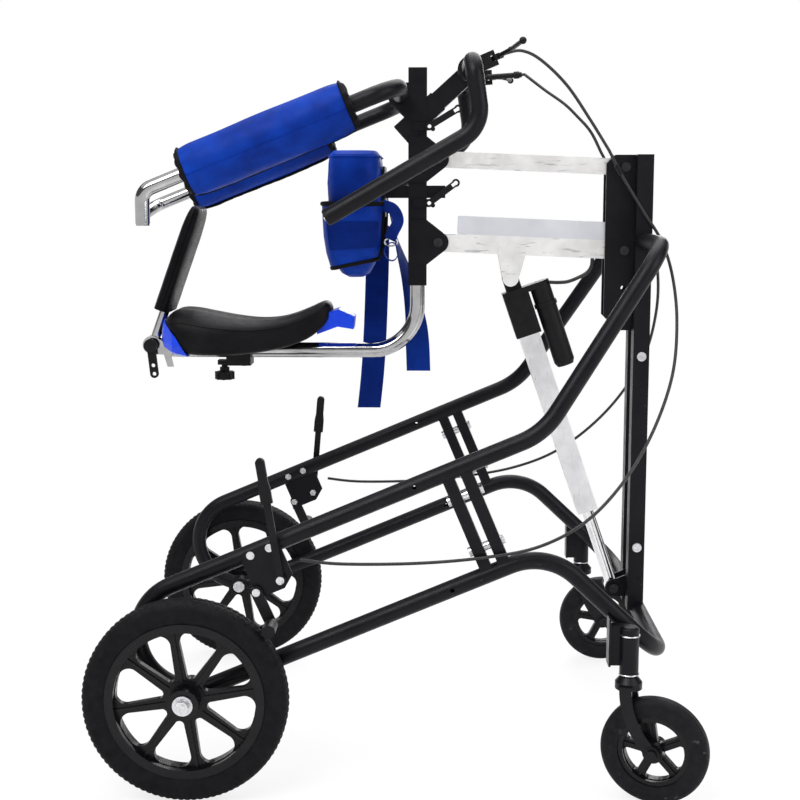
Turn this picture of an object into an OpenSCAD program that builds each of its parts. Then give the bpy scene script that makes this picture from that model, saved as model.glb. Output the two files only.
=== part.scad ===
// Gait trainer: a wheeled walking frame with a seat, arm rests and handlebar on a powered lift.
// Millimetres, +Z up, +X towards the front. Right is the -Y side.

/* [Wheels] */
// Outer diameter of the rear tyres
rear_d = 305; // [290:1:320]
// Width of the rear tyres
rear_w = 44; // [38:1:50]
// Outer diameter of the caster tyres
caster_d = 160; // [150:1:170]
// Width of the caster tyres
caster_w = 30; // [26:1:34]
// Trail of the casters behind their stems
caster_trail = 41; // [35:1:48]
// From the rear axle to the caster stems
wheelbase = 652.5; // [645:0.5:665]
// Swivel of the right caster at rest, degrees
right_swivel = 20; // [0:1:20]

/* [Frame] */
// Diameter of the frame tubes
tube_d = 26; // [24:1:28]
// Wall of the frame tubes
tube_wall = 2; // [1.5:0.5:3]
// Distance of each side frame from the centre
rail_half = 290; // [275:1:305]
// Slope of the side rails, degrees
rail_slope = 22.8; // [21:0.2:24]
// Distance between the two rails of a side frame
rail_gap = 164.7; // [155:0.1:175]
// From the axle to the bolted joint of a side frame, along the rail
joint_s = 498; // [470:1:520]
// From the axle to the front bend of the upper rail, along the rail
upper_run = 639; // [625:1:655]
// From the axle to the crest of the lower rail, along the rail
lower_run = 578; // [565:1:590]
// Height of the tube ends welded to the mast
top_z = 815; // [790:1:840]
// Distance of the upper bends from the centre
top_half = 238; // [215:1:260]
// Height of the lower cross tube
cross_z = 204; // [195:1:212]

/* [Mast] */
// Centre of the mast posts in front of the rear axle
post_x = 702; // [695:1:710]
// Width of a square mast post
post_w = 26; // [22:1:30]
// Clear gap between the two posts
post_gap = 36; // [34:1:40]
// Top of the mast
mast_top = 952; // [940:1:970]
// Bottom edge of the mast plates
plate_foot = 669; // [640:1:700]
// Thickness of the mast plates
plate_t = 4; // [3:0.5:5]

/* [Lift] */
// Height of the lower pivots on the mast
pivot_z = 799; // [785:1:815]
// Distance between the upper and lower pivots
pivot_gap = 133.5; // [120:0.5:145]
// Pivots behind the centre of the posts
pivot_back = 28; // [24:1:32]
// Length of the lift arms between pivots
arm_len = 301.8; // [290:0.1:315]
// Upward tilt of the lift arms at rest, degrees
arm_tilt = 2.4; // [0:0.1:5]
// Width of the lift arms
arm_w = 26; // [24:1:26]
// Height of the upper arm
upper_arm_h = 26; // [22:1:28]
// Height of the lower arm
lower_arm_h = 30; // [26:1:32]
// Height of the cable channel on the lower arm
tray_h = 29; // [20:1:32]
// Diameter of the lift pivots
pin_d = 10; // [8:1:12]

/* [Actuator] */
// Top pivot behind the lower mast pivot
act_back = 183; // [170:1:195]
// Top pivot below the lower mast pivot
act_drop = 46; // [42:1:52]
// Foot pivot behind the centre of the posts
foot_back = 33; // [29:1:36]
// Height of the foot pivot
foot_z = 235; // [228:1:245]
// Width of the square barrel
barrel_w = 34; // [32:1:38]
// Length of the barrel below the top pivot
barrel_len = 410; // [390:1:430]
// Diameter of the piston rod
rod_d = 20; // [16:1:22]
// Motor width
motor_w = 34; // [28:1:36]
// Motor length
motor_len = 128; // [110:1:140]

/* [Carriage] */
// Width of the square upright
upright_w = 30; // [28:1:32]
// Wall of the upright
upright_wall = 2.5; // [2:0.5:3]
// Top of the upright
upright_top = 1090; // [1080:1:1110]
// From the lower carriage pivot down to the foot of the upright
upright_drop = 70; // [62:0.5:78]
// Pivots in front of the upright's centre
pivot_out = 33.5; // [32:0.5:36]
// Diameter of the chrome seat tube
seat_tube_d = 25; // [23:1:25]
// Height of the seat tube's level run
seat_z = 634; // [620:1:650]
// Length of the level run behind the upright
seat_run = 419; // [400:1:430]

/* [Handlebar] */
// Height where the stem crosses the upright
stem_z = 1008; // [1000:1:1016]
// Slope of the stem, degrees
stem_slope = 42; // [38:1:46]
// From the upright to the cross bar, along the stem
stem_reach = 108; // [104:1:120]
// Half the handlebar's width
bar_half = 250; // [230:1:265]
// Drop from the cross bar to the grip bends
bar_drop = 95; // [85:1:105]
// Length of a grip
grip_len = 258; // [230:1:270]
// Slope of the grips, degrees
grip_slope = 30; // [26:1:34]

/* [Arm rests] */
// Half the distance between the arm tubes
arm_half = 220; // [205:1:235]
// Height of the arm rest's cross tube
arm_z = 1046; // [1040:1:1052]
// Slope of the arm tubes, degrees
arm_slope = 21.9; // [19:0.1:24]
// Diameter of the arm pads
pad_d = 76; // [68:1:84]
// Length of the arm pads
pad_len = 261; // [240:1:275]
// Extension of the left arm at rest
left_reach = 66; // [40:1:70]

/* [Seat and pads] */
// Length of the saddle
saddle_len = 278; // [265:1:285]
// Greatest half width of the saddle
saddle_half = 95; // [85:1:105]
// Height of the saddle from skirt to nose
saddle_h = 84; // [78:1:90]
// Width of the back pad
back_w = 112; // [100:1:140]
// Height of the back pad
back_h = 176; // [160:1:190]
// Thickness of the back pad
back_t = 26; // [24:1:32]
// Lean of the back pad from upright, degrees
back_lean = 20; // [15:1:25]
// Width of the chest pad
chest_w = 220; // [190:1:250]
// Height of the chest pad
chest_h = 200; // [180:1:215]
// Depth of the chest pad
chest_t = 88; // [76:1:94]
// Width of the webbing straps
strap_w = 40; // [36:1:42]

/* [Hidden] */
$fn = 48;
// Overrun of every cut
over = 1;
// Running clearance of pins and sliding tubes, and seat clearance of fixed pieces
run = 0.06;
seat = 0.05;
// Clearance between soft pieces and what carries them
soft = 0.3;
tiny = 0.01;
// How far a straight tube runs into a bend, and how much thicker the bend is
lap = 0.4;
swell = 0.12;

// Place of the rear axle, and the middle of the whole length
axle_z = rear_d / 2;
mid_x = (wheelbase + caster_trail + caster_d / 2 - rear_d / 2) / 2;

// Side frames
axle_rise = 7.5;
bend_s = 40.5;
bar_w = 18;
bar_d = 20;
bar_off = 14;
boss_d = 32;
boss_in = 18;
boss_out = 14;
axle_d = 12;
upper_bend_r = 110;
top_bend_r = 56;
crest_r = 90;
corner_r = 70;
hole_d = 6.5;
hole_upper_s = 434;
hole_lower_s = 426;
cross_x = post_x + 6;

// Casters
stem_x = wheelbase;
housing_d = 28;
housing_plate_t = 3;
caster_half = rail_half + tube_d / 2 + housing_plate_t + housing_d / 2;
housing_foot = caster_d + 30;
housing_h = 60;
cap_h = 13;
stem_d = 12;
crown_h = 20;
crown_d = 40;
leg_t = 5;
leg_w = 18;
leg_gap = caster_w + 6;
caster_axle_d = 8;
caster_hub_len = caster_w + 5;

// Rear wheels
wheel_play = 0.5;
hub_len = 56;
hub_in = rail_half + boss_out + wheel_play;
rear_half = hub_in + hub_len / 2;
washer_t = 3;
washer_d = 30;
nut_h = 9;
nut_d = 21;
tyre_round = 14;
rim_r = 0.774 * rear_d / 2;

// Mast
post_out = post_gap / 2 + post_w;
plate_in = post_gap / 2 - plate_t;
pivot_x = post_x - pivot_back;
plate_back = 31;
plate_chamfer = 14;
plate_round = 24;
ear_reach = 14;
foot_x = post_x - foot_back;
mast_hole_d = 8.4;
mast_hole_x = pivot_x;
mast_hole_rise = 69;
mast_hole_z = plate_foot + mast_hole_rise;
bolt_d = 8;
bolt_head_d = 15;
bolt_head_h = 5;
mast_bolt_zs = [312, 629];

// Lift arms and carriage places
arm_dir = [-cos(arm_tilt), 0, sin(arm_tilt)];
low_pivot = [pivot_x, 0, pivot_z];
high_pivot = low_pivot + [0, 0, pivot_gap];
low_carry = low_pivot + arm_len * arm_dir;
high_carry = high_pivot + arm_len * arm_dir;
ux = low_carry[0] - pivot_out;
upright_foot = low_carry[2] - upright_drop;
arm_wall = 2;
arm_end = 9;
tray_wall = 2;
tray_start = 31;
tray_stop = 21;
ear_t = 3;
gusset_t = 4;
gusset_r = 17;
gusset_rise = 36;

// Actuator
act_top = low_pivot + [-act_back, 0, -act_drop];
act_foot = [foot_x, 0, foot_z];
act_len = norm(act_foot - act_top);
act_lean = atan2(act_foot[0] - act_top[0], act_top[2] - act_foot[2]);
head_top = 20;
head_len = 78;
head_w = 42;
eye_r = 13;
eye_w = 20;
gland_len = 16;
gland_d = 30;
groove = 3;
rod_inside = 150;
motor_off = 42;
motor_start = 30;
band_w = 7;
foot_play = 2;

// Carriage details
seat_bend_r = 75;
sleeve_wall = 2;
stem_w = 30;
sleeve_w = stem_w + 2 * sleeve_wall + 2 * run;
sleeve_back = 36;
sleeve_front = 44;
bracket_r = 20;
bracket_t = 4;
lug_t = 4;
cam_t = 4;
cam_len = 60;
cam_w = 13;
cam_out = 19;
upper_cam_z = 997;
lower_cam_z = 875;
upper_cam_rise = 31;
lower_cam_rise = 37;
chest_bar_w = 20;
chest_bar_z = 893;
chest_bar_front = 30;

// Handlebar details
bar_bend_r = 48;
bar_lean = 14;
bar_x = ux + stem_reach * cos(stem_slope);
bar_z = stem_z + stem_reach * sin(stem_slope);
grip_bore = 20;
lever_y = 96;
right_lever_tilt = 23;
left_lever_tilt = 4;
lever_body_len = 44;
lever_body_w = 24;
lever_pivot_out = 36;
lever_reach = 81;
lever_blade = 104;
lever_ball_d = 11;
lever_rod_d = 7;
lever_t = 9;
lever_clamp_w = 16;
right_exit = 56;
left_exit = 93;
barrel_d = 9;
adjuster_d = 12;

// Arm rest details
arm_bend_r = 46;
arm_x = ux - upright_w / 2 - tube_d / 2;
arm_tube_run = 232;
pad_start = 77;
ext_d = tube_d - 2 * tube_wall - 2 * run;
ext_wall = 1.5;
ext_start = 96;
ext_run = 408;
ext_bend_r = 22;
ext_drop = 26;
left_ext_roll = 80;
pad_nose_share = 0.8;
pad_round = 10;
plug_h = 6;

// Saddle and its clamp
saddle_back = 417;
saddle_tail = ux - saddle_back;
saddle_foot = seat_z - 1;
tunnel_half = 27;
tunnel_z = seat_z + seat_tube_d / 2 + 2;
clamp_back = 294;
clamp_x = ux - clamp_back;
clamp_len = 40;
clamp_half = 23;
clamp_drop = 24;
knob_back = 26;
knob_x = clamp_x - knob_back;
knob_d = 28;
knob_h = 13;
knob_stem_d = 10;
knob_stem_h = 12;
nose_half = 27;

// Back rest
hinge_back = 438;
hinge_rise = 9;
back_x = ux - hinge_back;
back_z = seat_z + hinge_rise;
back_eye_r = 12;
back_post_d = 20;
back_post_len = 130;
back_start = 64;
back_plate_t = 4;
back_plate_r = 15;
back_knob_d = 22;
back_knob_h = 9;
back_lever_len = 54;
back_lever_turn = 6;
back_lever_w = 14;
latch_w = 13;
latch_len = 36;
latch_t = 3;

// Chest pad, belt and straps
chest_back = 100;
chest_x = ux - chest_back;
chest_top = 957;
belt_t = 9;
belt_h = 106;
belt_drop = 134;
belt_z = chest_top - belt_drop;
strap_t = 2;
front_strap_len = 313;
rear_strap_len = 309;

// Parking brakes
brake_plate_t = 4;
brake_y = rail_half + tube_d / 2 + seat;
brake_lever_s = 200;
brake_lever_drop = 50;
brake_lever_len = 184;
brake_lever_w = 11;
brake_lever_t = 4;
brake_grip_len = 68;
brake_grip_w = 17;
brake_grip_t = 9;
right_brake_lean = 9;
left_brake_lean = -5;
brake_bolt_d = 8;
brake_bolt_ss = [173, 203];
shoe_s = 160;
shoe_drop = 53;
shoe_gap = 4;
shoe_roller_d = 20;
shoe_angle = 41;
shoe_t = 4;
shoe_w = 17;

// Cables
cable_d = 5;
cable_side = 7;
cable_rise = 6;
cable_back = 60;

// Vectors and frames

function unit(v) = v / norm(v);
function turn(a, b, c) = acos(unit(b - a) * unit(c - b));
function mirror_y(p) = [p[0], -p[1], p[2]];
function columns(x, y, z, p) = [
    [x[0], y[0], z[0], p[0]],
    [x[1], y[1], z[1], p[1]],
    [x[2], y[2], z[2], p[2]],
    [0, 0, 0, 1]
];
function lookup_ref(u) = abs(u[1]) < 0.9 ? [0, 1, 0] : [1, 0, 0];

// A frame whose +Z runs from p towards q
module along(p, q) {
    u = unit(q - p);
    x = unit(cross(lookup_ref(u), u));
    multmatrix(columns(x, cross(u, x), u, p)) children();
}

// A round rod from p to q
module rod(p, q, d) {
    along(p, q) cylinder(h = norm(q - p), d = d);
}

// A rod along +Y from y0 to y1 at the place p
module cross_rod(p, y0, y1, d) {
    rod([p[0], y0, p[2]], [p[0], y1, p[2]], d);
}

// The curved part of a bend at b between a and c, sweeping a profile whose X direction is given
module elbow(a, b, c, r, side) {
    u = unit(b - a);
    v = unit(c - b);
    n = unit(v - (u * v) * u);
    t = turn(a, b, c);
    multmatrix(columns(-n, u, cross(-n, u), b - r * tan(t / 2) * u + r * n))
        rotate_extrude(angle = t) translate([r, 0]) rotate(atan2(side * cross(-n, u), side * -n)) children();
}

// The profile's X direction on each straight, carried round the bends without twist
function heading(points, i) = unit(points[i + 1] - points[i]);
function carried(points, i) = i == 0
    ? unit(cross(lookup_ref(heading(points, 0)), heading(points, 0)))
    : let (x = carried(points, i - 1), u = heading(points, i - 1), v = heading(points, i))
        unit(x - (v * x) / (1 + u * v) * (u + v));

// A tube through points with a bend radius at each inner point; bore 0 makes it solid
module bent_tube(points, radii, d, bore) {
    last = len(points) - 1;
    back = [for (i = [0:last]) i == 0 || i == last ? 0
        : radii[i - 1] * tan(turn(points[i - 1], points[i], points[i + 1]) / 2)];
    for (i = [0:last - 1]) {
        span = norm(points[i + 1] - points[i]) - back[i] - back[i + 1];
        u = heading(points, i);
        x = carried(points, i);
        start = i == 0 ? 0 : lap;
        stop = i == last - 1 ? 0 : lap;
        if (span > tiny)
            multmatrix(columns(x, cross(u, x), u, points[i] + (back[i] - start) * u))
                linear_extrude(start + span + stop) ring(d, bore);
    }
    for (i = [1:last - 1])
        elbow(points[i - 1], points[i], points[i + 1], radii[i - 1], carried(points, i - 1))
            ring(d + swell, bore - swell);
}

module ring(d, bore) {
    difference() {
        circle(d = d);
        if (bore > 0) circle(d = bore);
    }
}

// A closed skin over rings of points, each ring the same count
module skin(rings) {
    n = len(rings[0]);
    last = len(rings) - 1;
    points = [for (r = rings) for (p = r) p];
    sides = [for (i = [0:last - 1]) for (j = [0:n - 1]) let (k = (j + 1) % n)
        each [[i * n + j, i * n + k, (i + 1) * n + k], [i * n + j, (i + 1) * n + k, (i + 1) * n + j]]];
    ends = concat(
        [for (j = [1:n - 2]) [0, j + 1, j]],
        [for (j = [1:n - 2]) [last * n, last * n + j, last * n + j + 1]]);
    polyhedron(points, concat(sides, ends));
}

// Points on a smooth curve through hand-chosen ones
function blend(a, b, c, d, t) = 0.5 * (2 * b + (c - a) * t + (2 * a - 5 * b + 4 * c - d) * t * t
    + (3 * b - a - 3 * c + d) * t * t * t);
function curve(p, per) = let (last = len(p) - 1) concat(
    [for (i = [0:last - 1]) for (k = [0:per - 1])
        blend(p[max(i - 1, 0)], p[i], p[i + 1], p[min(i + 2, last)], k / per)],
    [p[last]]);

// A round cord swept along a route
module cord(route, d, sides) {
    last = len(route) - 1;
    skin([for (i = [0:last]) let (
        t = unit(route[min(i + 1, last)] - route[max(i - 1, 0)]),
        x = unit(cross([0, 1, 0], t)),
        y = cross(t, x))
        [for (k = [0:sides - 1]) route[i] + d / 2 * (cos(360 * k / sides) * x + sin(360 * k / sides) * y)]]);
}

// A bolt along +Z: head below zero, shank above, nut at the far end
module bolt(d, grip, head_d, head_h) {
    translate([0, 0, -head_h]) cylinder(h = head_h, d = head_d);
    translate([0, 0, -tiny]) cylinder(h = grip + 2 * tiny, d = d);
    translate([0, 0, grip]) cylinder(h = head_h, d = head_d, $fn = 6);
}

// Everything is laid out from the rear axle and then centred along the length
module stand() {
    translate([-mid_x, 0, 0]) children();
}

module left_side() {
    mirror([0, 1, 0]) children();
}

module both_sides() {
    children();
    left_side() children();
}

// Side frames

function rail(s, h) = [s * cos(rail_slope) - h * sin(rail_slope), -rail_half,
    axle_z - axle_rise + s * sin(rail_slope) + h * cos(rail_slope)];

// Rail frame: X along the rail, Z square to it, origin where the lower rail passes the axle
module on_rail() {
    translate([0, -rail_half, axle_z - axle_rise]) rotate([0, -rail_slope, 0]) children();
}

module joint_bar(side) {
    translate([joint_s + side * bar_off - bar_w / 2, -bar_d / 2, 0]) cube([bar_w, bar_d, rail_gap]);
}

module bar_bolt_places() {
    for (h = [rail_gap / 4, rail_gap * 3 / 4])
        translate([joint_s - bar_off - bar_w / 2, 0, h]) rotate([0, 90, 0]) children();
}

module rail_rods(d) {
    for (h = [0, rail_gap])
        rod([0, 0, h], [joint_s + upper_run, 0, h], d);
}

module brake_bolt_holes(d) {
    for (s = brake_bolt_ss)
        translate([s, -tube_d, rail_gap]) rotate([-90, 0, 0]) cylinder(h = 2 * tube_d, d = d);
}

module rear_loop() {
    r = rail_gap / 2;
    color("#1b1b20") difference() {
        union() {
            on_rail() bent_tube([[joint_s, 0, 0], [bend_s - r, 0, 0], [bend_s - r, 0, rail_gap],
                [joint_s, 0, rail_gap]], [r, r], tube_d, tube_d - 2 * tube_wall);
            on_rail() difference() {
                joint_bar(-1);
                rail_rods(tube_d - tube_wall);
            }
            cross_rod([0, 0, axle_z], -rail_half - boss_out, -rail_half + boss_in, boss_d);
        }
        cross_rod([0, 0, axle_z], -rail_half - boss_out - over, -rail_half + boss_in + over, axle_d + 2 * seat);
        on_rail() {
            bar_bolt_places() translate([0, 0, -over]) cylinder(h = bar_w + 2 * over, d = bolt_d + 2 * seat);
            brake_bolt_holes(brake_bolt_d + 2 * seat);
            translate([hole_upper_s, -tube_d, rail_gap]) rotate([-90, 0, 0]) cylinder(h = 2 * tube_d, d = hole_d);
            translate([hole_lower_s, -tube_d, 0]) rotate([-90, 0, 0]) cylinder(h = 2 * tube_d, d = hole_d);
        }
    }
}

module right_rear_loop() {
    stand() rear_loop();
}

module left_rear_loop() {
    stand() left_side() rear_loop();
}

module upper_front_tubes() {
    color("#1b1b20") stand() both_sides()
        bent_tube([rail(joint_s, rail_gap), rail(upper_run, rail_gap), [post_x, -top_half, top_z],
            [post_x, -post_out, top_z]], [upper_bend_r, top_bend_r], tube_d, tube_d - 2 * tube_wall);
}

module lower_front_tube() {
    start = rail(joint_s, 0);
    crest = rail(lower_run, 0);
    corner = [cross_x, -rail_half, cross_z];
    color("#1b1b20") stand()
        bent_tube([start, crest, corner, mirror_y(corner), mirror_y(crest), mirror_y(start)],
            [crest_r, corner_r, corner_r, crest_r], tube_d, tube_d - 2 * tube_wall);
}

module joint_bars() {
    color("#1b1b20") stand() both_sides() on_rail() difference() {
        joint_bar(1);
        rail_rods(tube_d + 2 * seat);
        bar_bolt_places() cylinder(h = 2 * bar_off + bar_w + over, d = bolt_d + 2 * seat);
    }
}

// Mast

module plate_shape() {
    back = pivot_x - plate_back;
    front = post_x + post_w / 2;
    difference() {
        polygon([[back + plate_round, plate_foot], [front, plate_foot], [front, mast_top],
            [back + plate_chamfer, mast_top], [back, mast_top - plate_chamfer], [back, plate_foot + plate_round]]);
        translate([mast_hole_x, mast_hole_z]) circle(d = mast_hole_d);
        for (p = [low_pivot, high_pivot])
            translate([p[0], p[2]]) circle(d = pin_d + 2 * seat);
    }
}

module ear_shape() {
    difference() {
        union() {
            translate([foot_x, foot_z]) circle(r = ear_reach);
            polygon([[foot_x, foot_z + ear_reach], [post_x, foot_z + 2 * ear_reach],
                [post_x, foot_z - ear_reach], [foot_x, foot_z - ear_reach]]);
        }
        translate([foot_x, foot_z]) circle(d = bolt_d + 2 * seat);
    }
}

// A flat plate in the XZ plane, from y0 towards +Y
module plate(y0, t) {
    translate([0, y0 + t, 0]) rotate([90, 0, 0]) linear_extrude(t) children();
}

module mast_side() {
    difference() {
        union() {
            difference() {
                translate([post_x - post_w / 2, -post_out, cross_z]) cube([post_w, post_w, mast_top - cross_z]);
                translate([post_x - post_w / 2 + tube_wall, -post_out + tube_wall, cross_z - over])
                    cube([post_w - 2 * tube_wall, post_w - 2 * tube_wall, mast_top - cross_z - tube_wall]);
            }
            plate(-post_gap / 2, plate_t) plate_shape();
            plate(-post_gap / 2, plate_t) ear_shape();
        }
        cross_rod([cross_x, 0, cross_z], -rail_half, rail_half, tube_d + 2 * seat);
        for (z = mast_bolt_zs)
            cross_rod([post_x, 0, z], -post_out - over, over, bolt_d + 2 * seat);
    }
}

module mast() {
    color("#141417") stand() both_sides() mast_side();
}

// Pivot bolts of the two lift arms, and a short bolt in each ear of the actuator's foot
module lift_pins() {
    color("#8a8c90") stand() {
        for (p = [low_pivot, high_pivot])
            translate([p[0], -post_gap / 2, p[2]]) rotate([-90, 0, 0])
                bolt(pin_d, post_gap, bolt_head_d, bolt_head_h);
        both_sides() translate([foot_x, -post_gap / 2, foot_z]) rotate([-90, 0, 0]) {
            translate([0, 0, -bolt_head_h]) cylinder(h = bolt_head_h, d = bolt_head_d);
            translate([0, 0, -tiny]) cylinder(h = plate_t + foot_play, d = bolt_d);
        }
    }
}

// Casters

module caster_housings() {
    top = housing_foot + housing_h;
    color("#17171b") stand() both_sides() difference() {
        union() {
            translate([stem_x, -caster_half, housing_foot]) cylinder(h = housing_h, d = housing_d);
            translate([stem_x, -caster_half, top]) cylinder(h = cap_h - housing_d / 8, d = housing_d);
            translate([stem_x, -caster_half, top + cap_h - housing_d / 8])
                cylinder(h = housing_d / 8, d1 = housing_d, d2 = housing_d * 3 / 4);
            translate([stem_x - housing_d, -caster_half, housing_foot + cap_h])
                cube([housing_d, caster_half - rail_half - tube_d / 2 - seat, housing_h]);
            translate([stem_x - housing_d - housing_plate_t, -caster_half - housing_d / 4, housing_foot + cap_h])
                cube([housing_plate_t, housing_d, housing_h + cap_h]);
        }
        translate([stem_x, -caster_half, housing_foot - over])
            cylinder(h = housing_h + over, d = stem_d + 2 * run);
        bent_tube([rail(joint_s, 0), rail(lower_run, 0), [cross_x, -rail_half, cross_z],
            [cross_x, rail_half, cross_z]], [crest_r, corner_r], tube_d + 2 * seat, 0);
    }
}

// Fork leg: an arc that runs down from the crown and forward to the axle
leg_top = housing_foot - wheel_play - crown_h;
leg_drop = leg_top + crown_h / 4 - caster_d / 2;
leg_r = (caster_trail * caster_trail + leg_drop * leg_drop) / (2 * caster_trail);
leg_turn = asin(leg_drop / leg_r);

module caster_fork() {
    out = leg_gap / 2 + leg_t;
    boss = out + leg_t / 4;
    color("#17171b") {
        translate([0, 0, leg_top]) cylinder(h = crown_h / 2, d = crown_d);
        translate([0, 0, leg_top + crown_h / 2]) cylinder(h = crown_h / 2, d1 = crown_d, d2 = stem_d * 2);
        translate([0, 0, leg_top + crown_h / 4]) cylinder(h = crown_h * 3 / 4 + housing_h - over, d = stem_d);
        translate([-leg_w * 0.6, -boss, leg_top + crown_h / 8]) cube([leg_w * 1.2, 2 * boss, crown_h / 4]);
        for (y = [-out, leg_gap / 2])
            translate([leg_r, y, leg_top + crown_h / 4]) rotate([-90, 0, 0]) rotate([0, 0, 180 - leg_turn])
                rotate_extrude(angle = leg_turn) translate([leg_r - leg_w / 2, 0]) square([leg_w, leg_t]);
        for (side = [-1, 1])
            cross_rod([caster_trail, 0, caster_d / 2], side * leg_gap / 2, side * boss, leg_w * 1.3);
        cross_rod([caster_trail, 0, caster_d / 2], -boss - bolt_head_h / 2, boss + bolt_head_h / 2, caster_axle_d);
        for (side = [-1, 1])
            cross_rod([caster_trail, 0, caster_d / 2], side * (boss - leg_t / 8), side * (boss + bolt_head_h), bolt_head_d);
    }
}

// Rounded window between two spokes, centred on X: outer radius, half pitch, spoke widths, corner radius
module wheel_window(r1, half, root_w, tip_w, c) {
    inner = [(root_w / 2 + c) / sin(half), 0];
    a = half - asin((tip_w / 2 + c) / (r1 - c));
    corner = (r1 - c) * [cos(a), sin(a)];
    way = unit(corner - inner);
    edge = [for (p = [inner, corner]) p + c * [-way[1], way[0]]];
    polygon(concat(edge, [for (t = [1, 0.5, 0, -0.5, -1]) r1 * [cos(a * t), sin(a * t)]],
        [for (i = [1, 0]) [edge[i][0], -edge[i][1]]]));
    for (p = [inner, corner, [corner[0], -corner[1]]]) translate(p) circle(r = 1.02 * c);
}

// Cross-section of a tyre, turned about the wheel's axle
module tyre_section(r0, r1, w, round_r) {
    translate([r0, -w / 2]) square([r1 - round_r - r0, w]);
    translate([r0, -w / 2 + round_r]) square([r1 - r0, w - 2 * round_r]);
    for (side = [-1, 1])
        translate([r1 - round_r, side * (w / 2 - round_r)]) circle(r = round_r);
}

module tyre(r0, r1, w, round_r) {
    rotate([90, 0, 0]) rotate_extrude() tyre_section(r0, r1, w, round_r);
}

// A moulded wheel: hub, flange, web and rim turned in one piece, windows between the spokes, a rib on each
module moulded_wheel(rim_r, rim_t, rim_w, hub_r, hub_l, flange_r, bore, count, phase, root_w, tip_w,
    corner, web_t) {
    difference() {
        rotate([90, 0, 0]) rotate_extrude() {
            translate([bore / 2, -hub_l / 2]) square([hub_r - bore / 2, hub_l]);
            translate([bore / 2, -web_t * 0.7]) square([flange_r - bore / 2, web_t * 1.4]);
            translate([bore / 2, -web_t / 2]) square([rim_r - rim_t / 2 - bore / 2, web_t]);
            translate([rim_r - rim_t, -rim_w / 2]) square([rim_t, rim_w]);
        }
        for (i = [0:count - 1]) rotate([0, 360 * (i + phase + 0.5) / count, 0]) translate([0, web_t, 0])
            rotate([90, 0, 0]) linear_extrude(2 * web_t)
                wheel_window(rim_r - rim_t - over, 180 / count, root_w, tip_w, corner);
    }
    for (i = [0:count - 1]) rotate([0, 360 * (i + phase) / count, 0])
        translate([hub_r * 0.9, -web_t * 0.75, -root_w / 8])
            cube([rim_r - rim_t * 0.8 - hub_r * 0.9, web_t * 1.5, root_w / 4]);
}

caster_rim_r = 0.66 * caster_d / 2;
caster_rim_t = 0.09 * caster_d / 2;
caster_hub_r = 0.19 * caster_d / 2;
caster_spoke_w = 0.17 * caster_d / 2;
caster_corner = 0.065 * caster_d / 2;

module caster_wheel() {
    color("#1a1a1e") translate([caster_trail, 0, caster_d / 2])
        moulded_wheel(caster_rim_r, caster_rim_t, caster_w * 0.8, caster_hub_r, caster_hub_len, caster_hub_r,
            caster_axle_d + 2 * run, 5, 0.63, caster_spoke_w, caster_spoke_w, caster_corner, caster_w * 0.32);
}

module caster_tyre() {
    color("#3b3c42") translate([caster_trail, 0, caster_d / 2])
        tyre(caster_rim_r + seat, caster_d / 2, caster_w, caster_w * 0.36);
}

module at_right_stem() {
    stand() translate([stem_x, -caster_half, 0]) rotate([0, 0, -right_swivel]) children();
}

module at_left_stem() {
    stand() translate([stem_x, caster_half, 0]) children();
}

module right_caster_fork() { at_right_stem() caster_fork(); }
module right_caster_wheel() { at_right_stem() caster_wheel(); }
module right_caster_tyre() { at_right_stem() caster_tyre(); }
module left_caster_fork() { at_left_stem() caster_fork(); }
module left_caster_wheel() { at_left_stem() caster_wheel(); }
module left_caster_tyre() { at_left_stem() caster_tyre(); }

// Rear wheels

rear_rim_t = 0.085 * rear_d / 2;
rear_hub_r = 0.15 * rear_d / 2;
rear_root_w = 0.111 * rear_d / 2;
rear_tip_w = 0.085 * rear_d / 2;
rear_corner = 0.046 * rear_d / 2;

module rear_wheel() {
    color("#17171a") translate([0, -rear_half, axle_z])
        moulded_wheel(rim_r, rear_rim_t, rear_w * 0.75, rear_hub_r, hub_len, rear_hub_r * 1.3,
            axle_d + 2 * run, 8, -0.2, rear_root_w, rear_tip_w, rear_corner, rear_w * 0.24);
}

module rear_tyre() {
    color("#202024") translate([0, -rear_half, axle_z]) tyre(rim_r + seat, rear_d / 2, rear_w, tyre_round);
}

module right_wheel() { stand() rear_wheel(); }
module right_tyre() { stand() rear_tyre(); }
module left_wheel() { stand() left_side() rear_wheel(); }
module left_tyre() { stand() left_side() rear_tyre(); }

// Axle bolts with a broad washer and a nut outside each hub
module rear_axles() {
    out = hub_in + hub_len + wheel_play;
    color("#c9cbcf") stand() both_sides() {
        cross_rod([0, 0, axle_z], -out - washer_t - nut_h - over, -rail_half + boss_in, axle_d);
        cross_rod([0, 0, axle_z], -out - washer_t, -out, washer_d);
        translate([0, -out - washer_t, axle_z]) rotate([90, 0, 0]) cylinder(h = nut_h, d = nut_d, $fn = 6);
        cross_rod([0, 0, axle_z], -rail_half + boss_in, -rail_half + boss_in + bolt_head_h, nut_d);
    }
}

// Parking brakes

brake_lever_at = rail(brake_lever_s, rail_gap - brake_lever_drop);
shoe_at = rail(shoe_s, rail_gap - shoe_drop);
roller_r = rear_d / 2 + shoe_gap + shoe_roller_d / 2;
roller_at = [roller_r * cos(shoe_angle), 0, axle_z + roller_r * sin(shoe_angle)];
brake_head_h = bolt_head_h * 0.6;
brake_lever_y = brake_y + brake_plate_t + brake_head_h + wheel_play;

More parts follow.
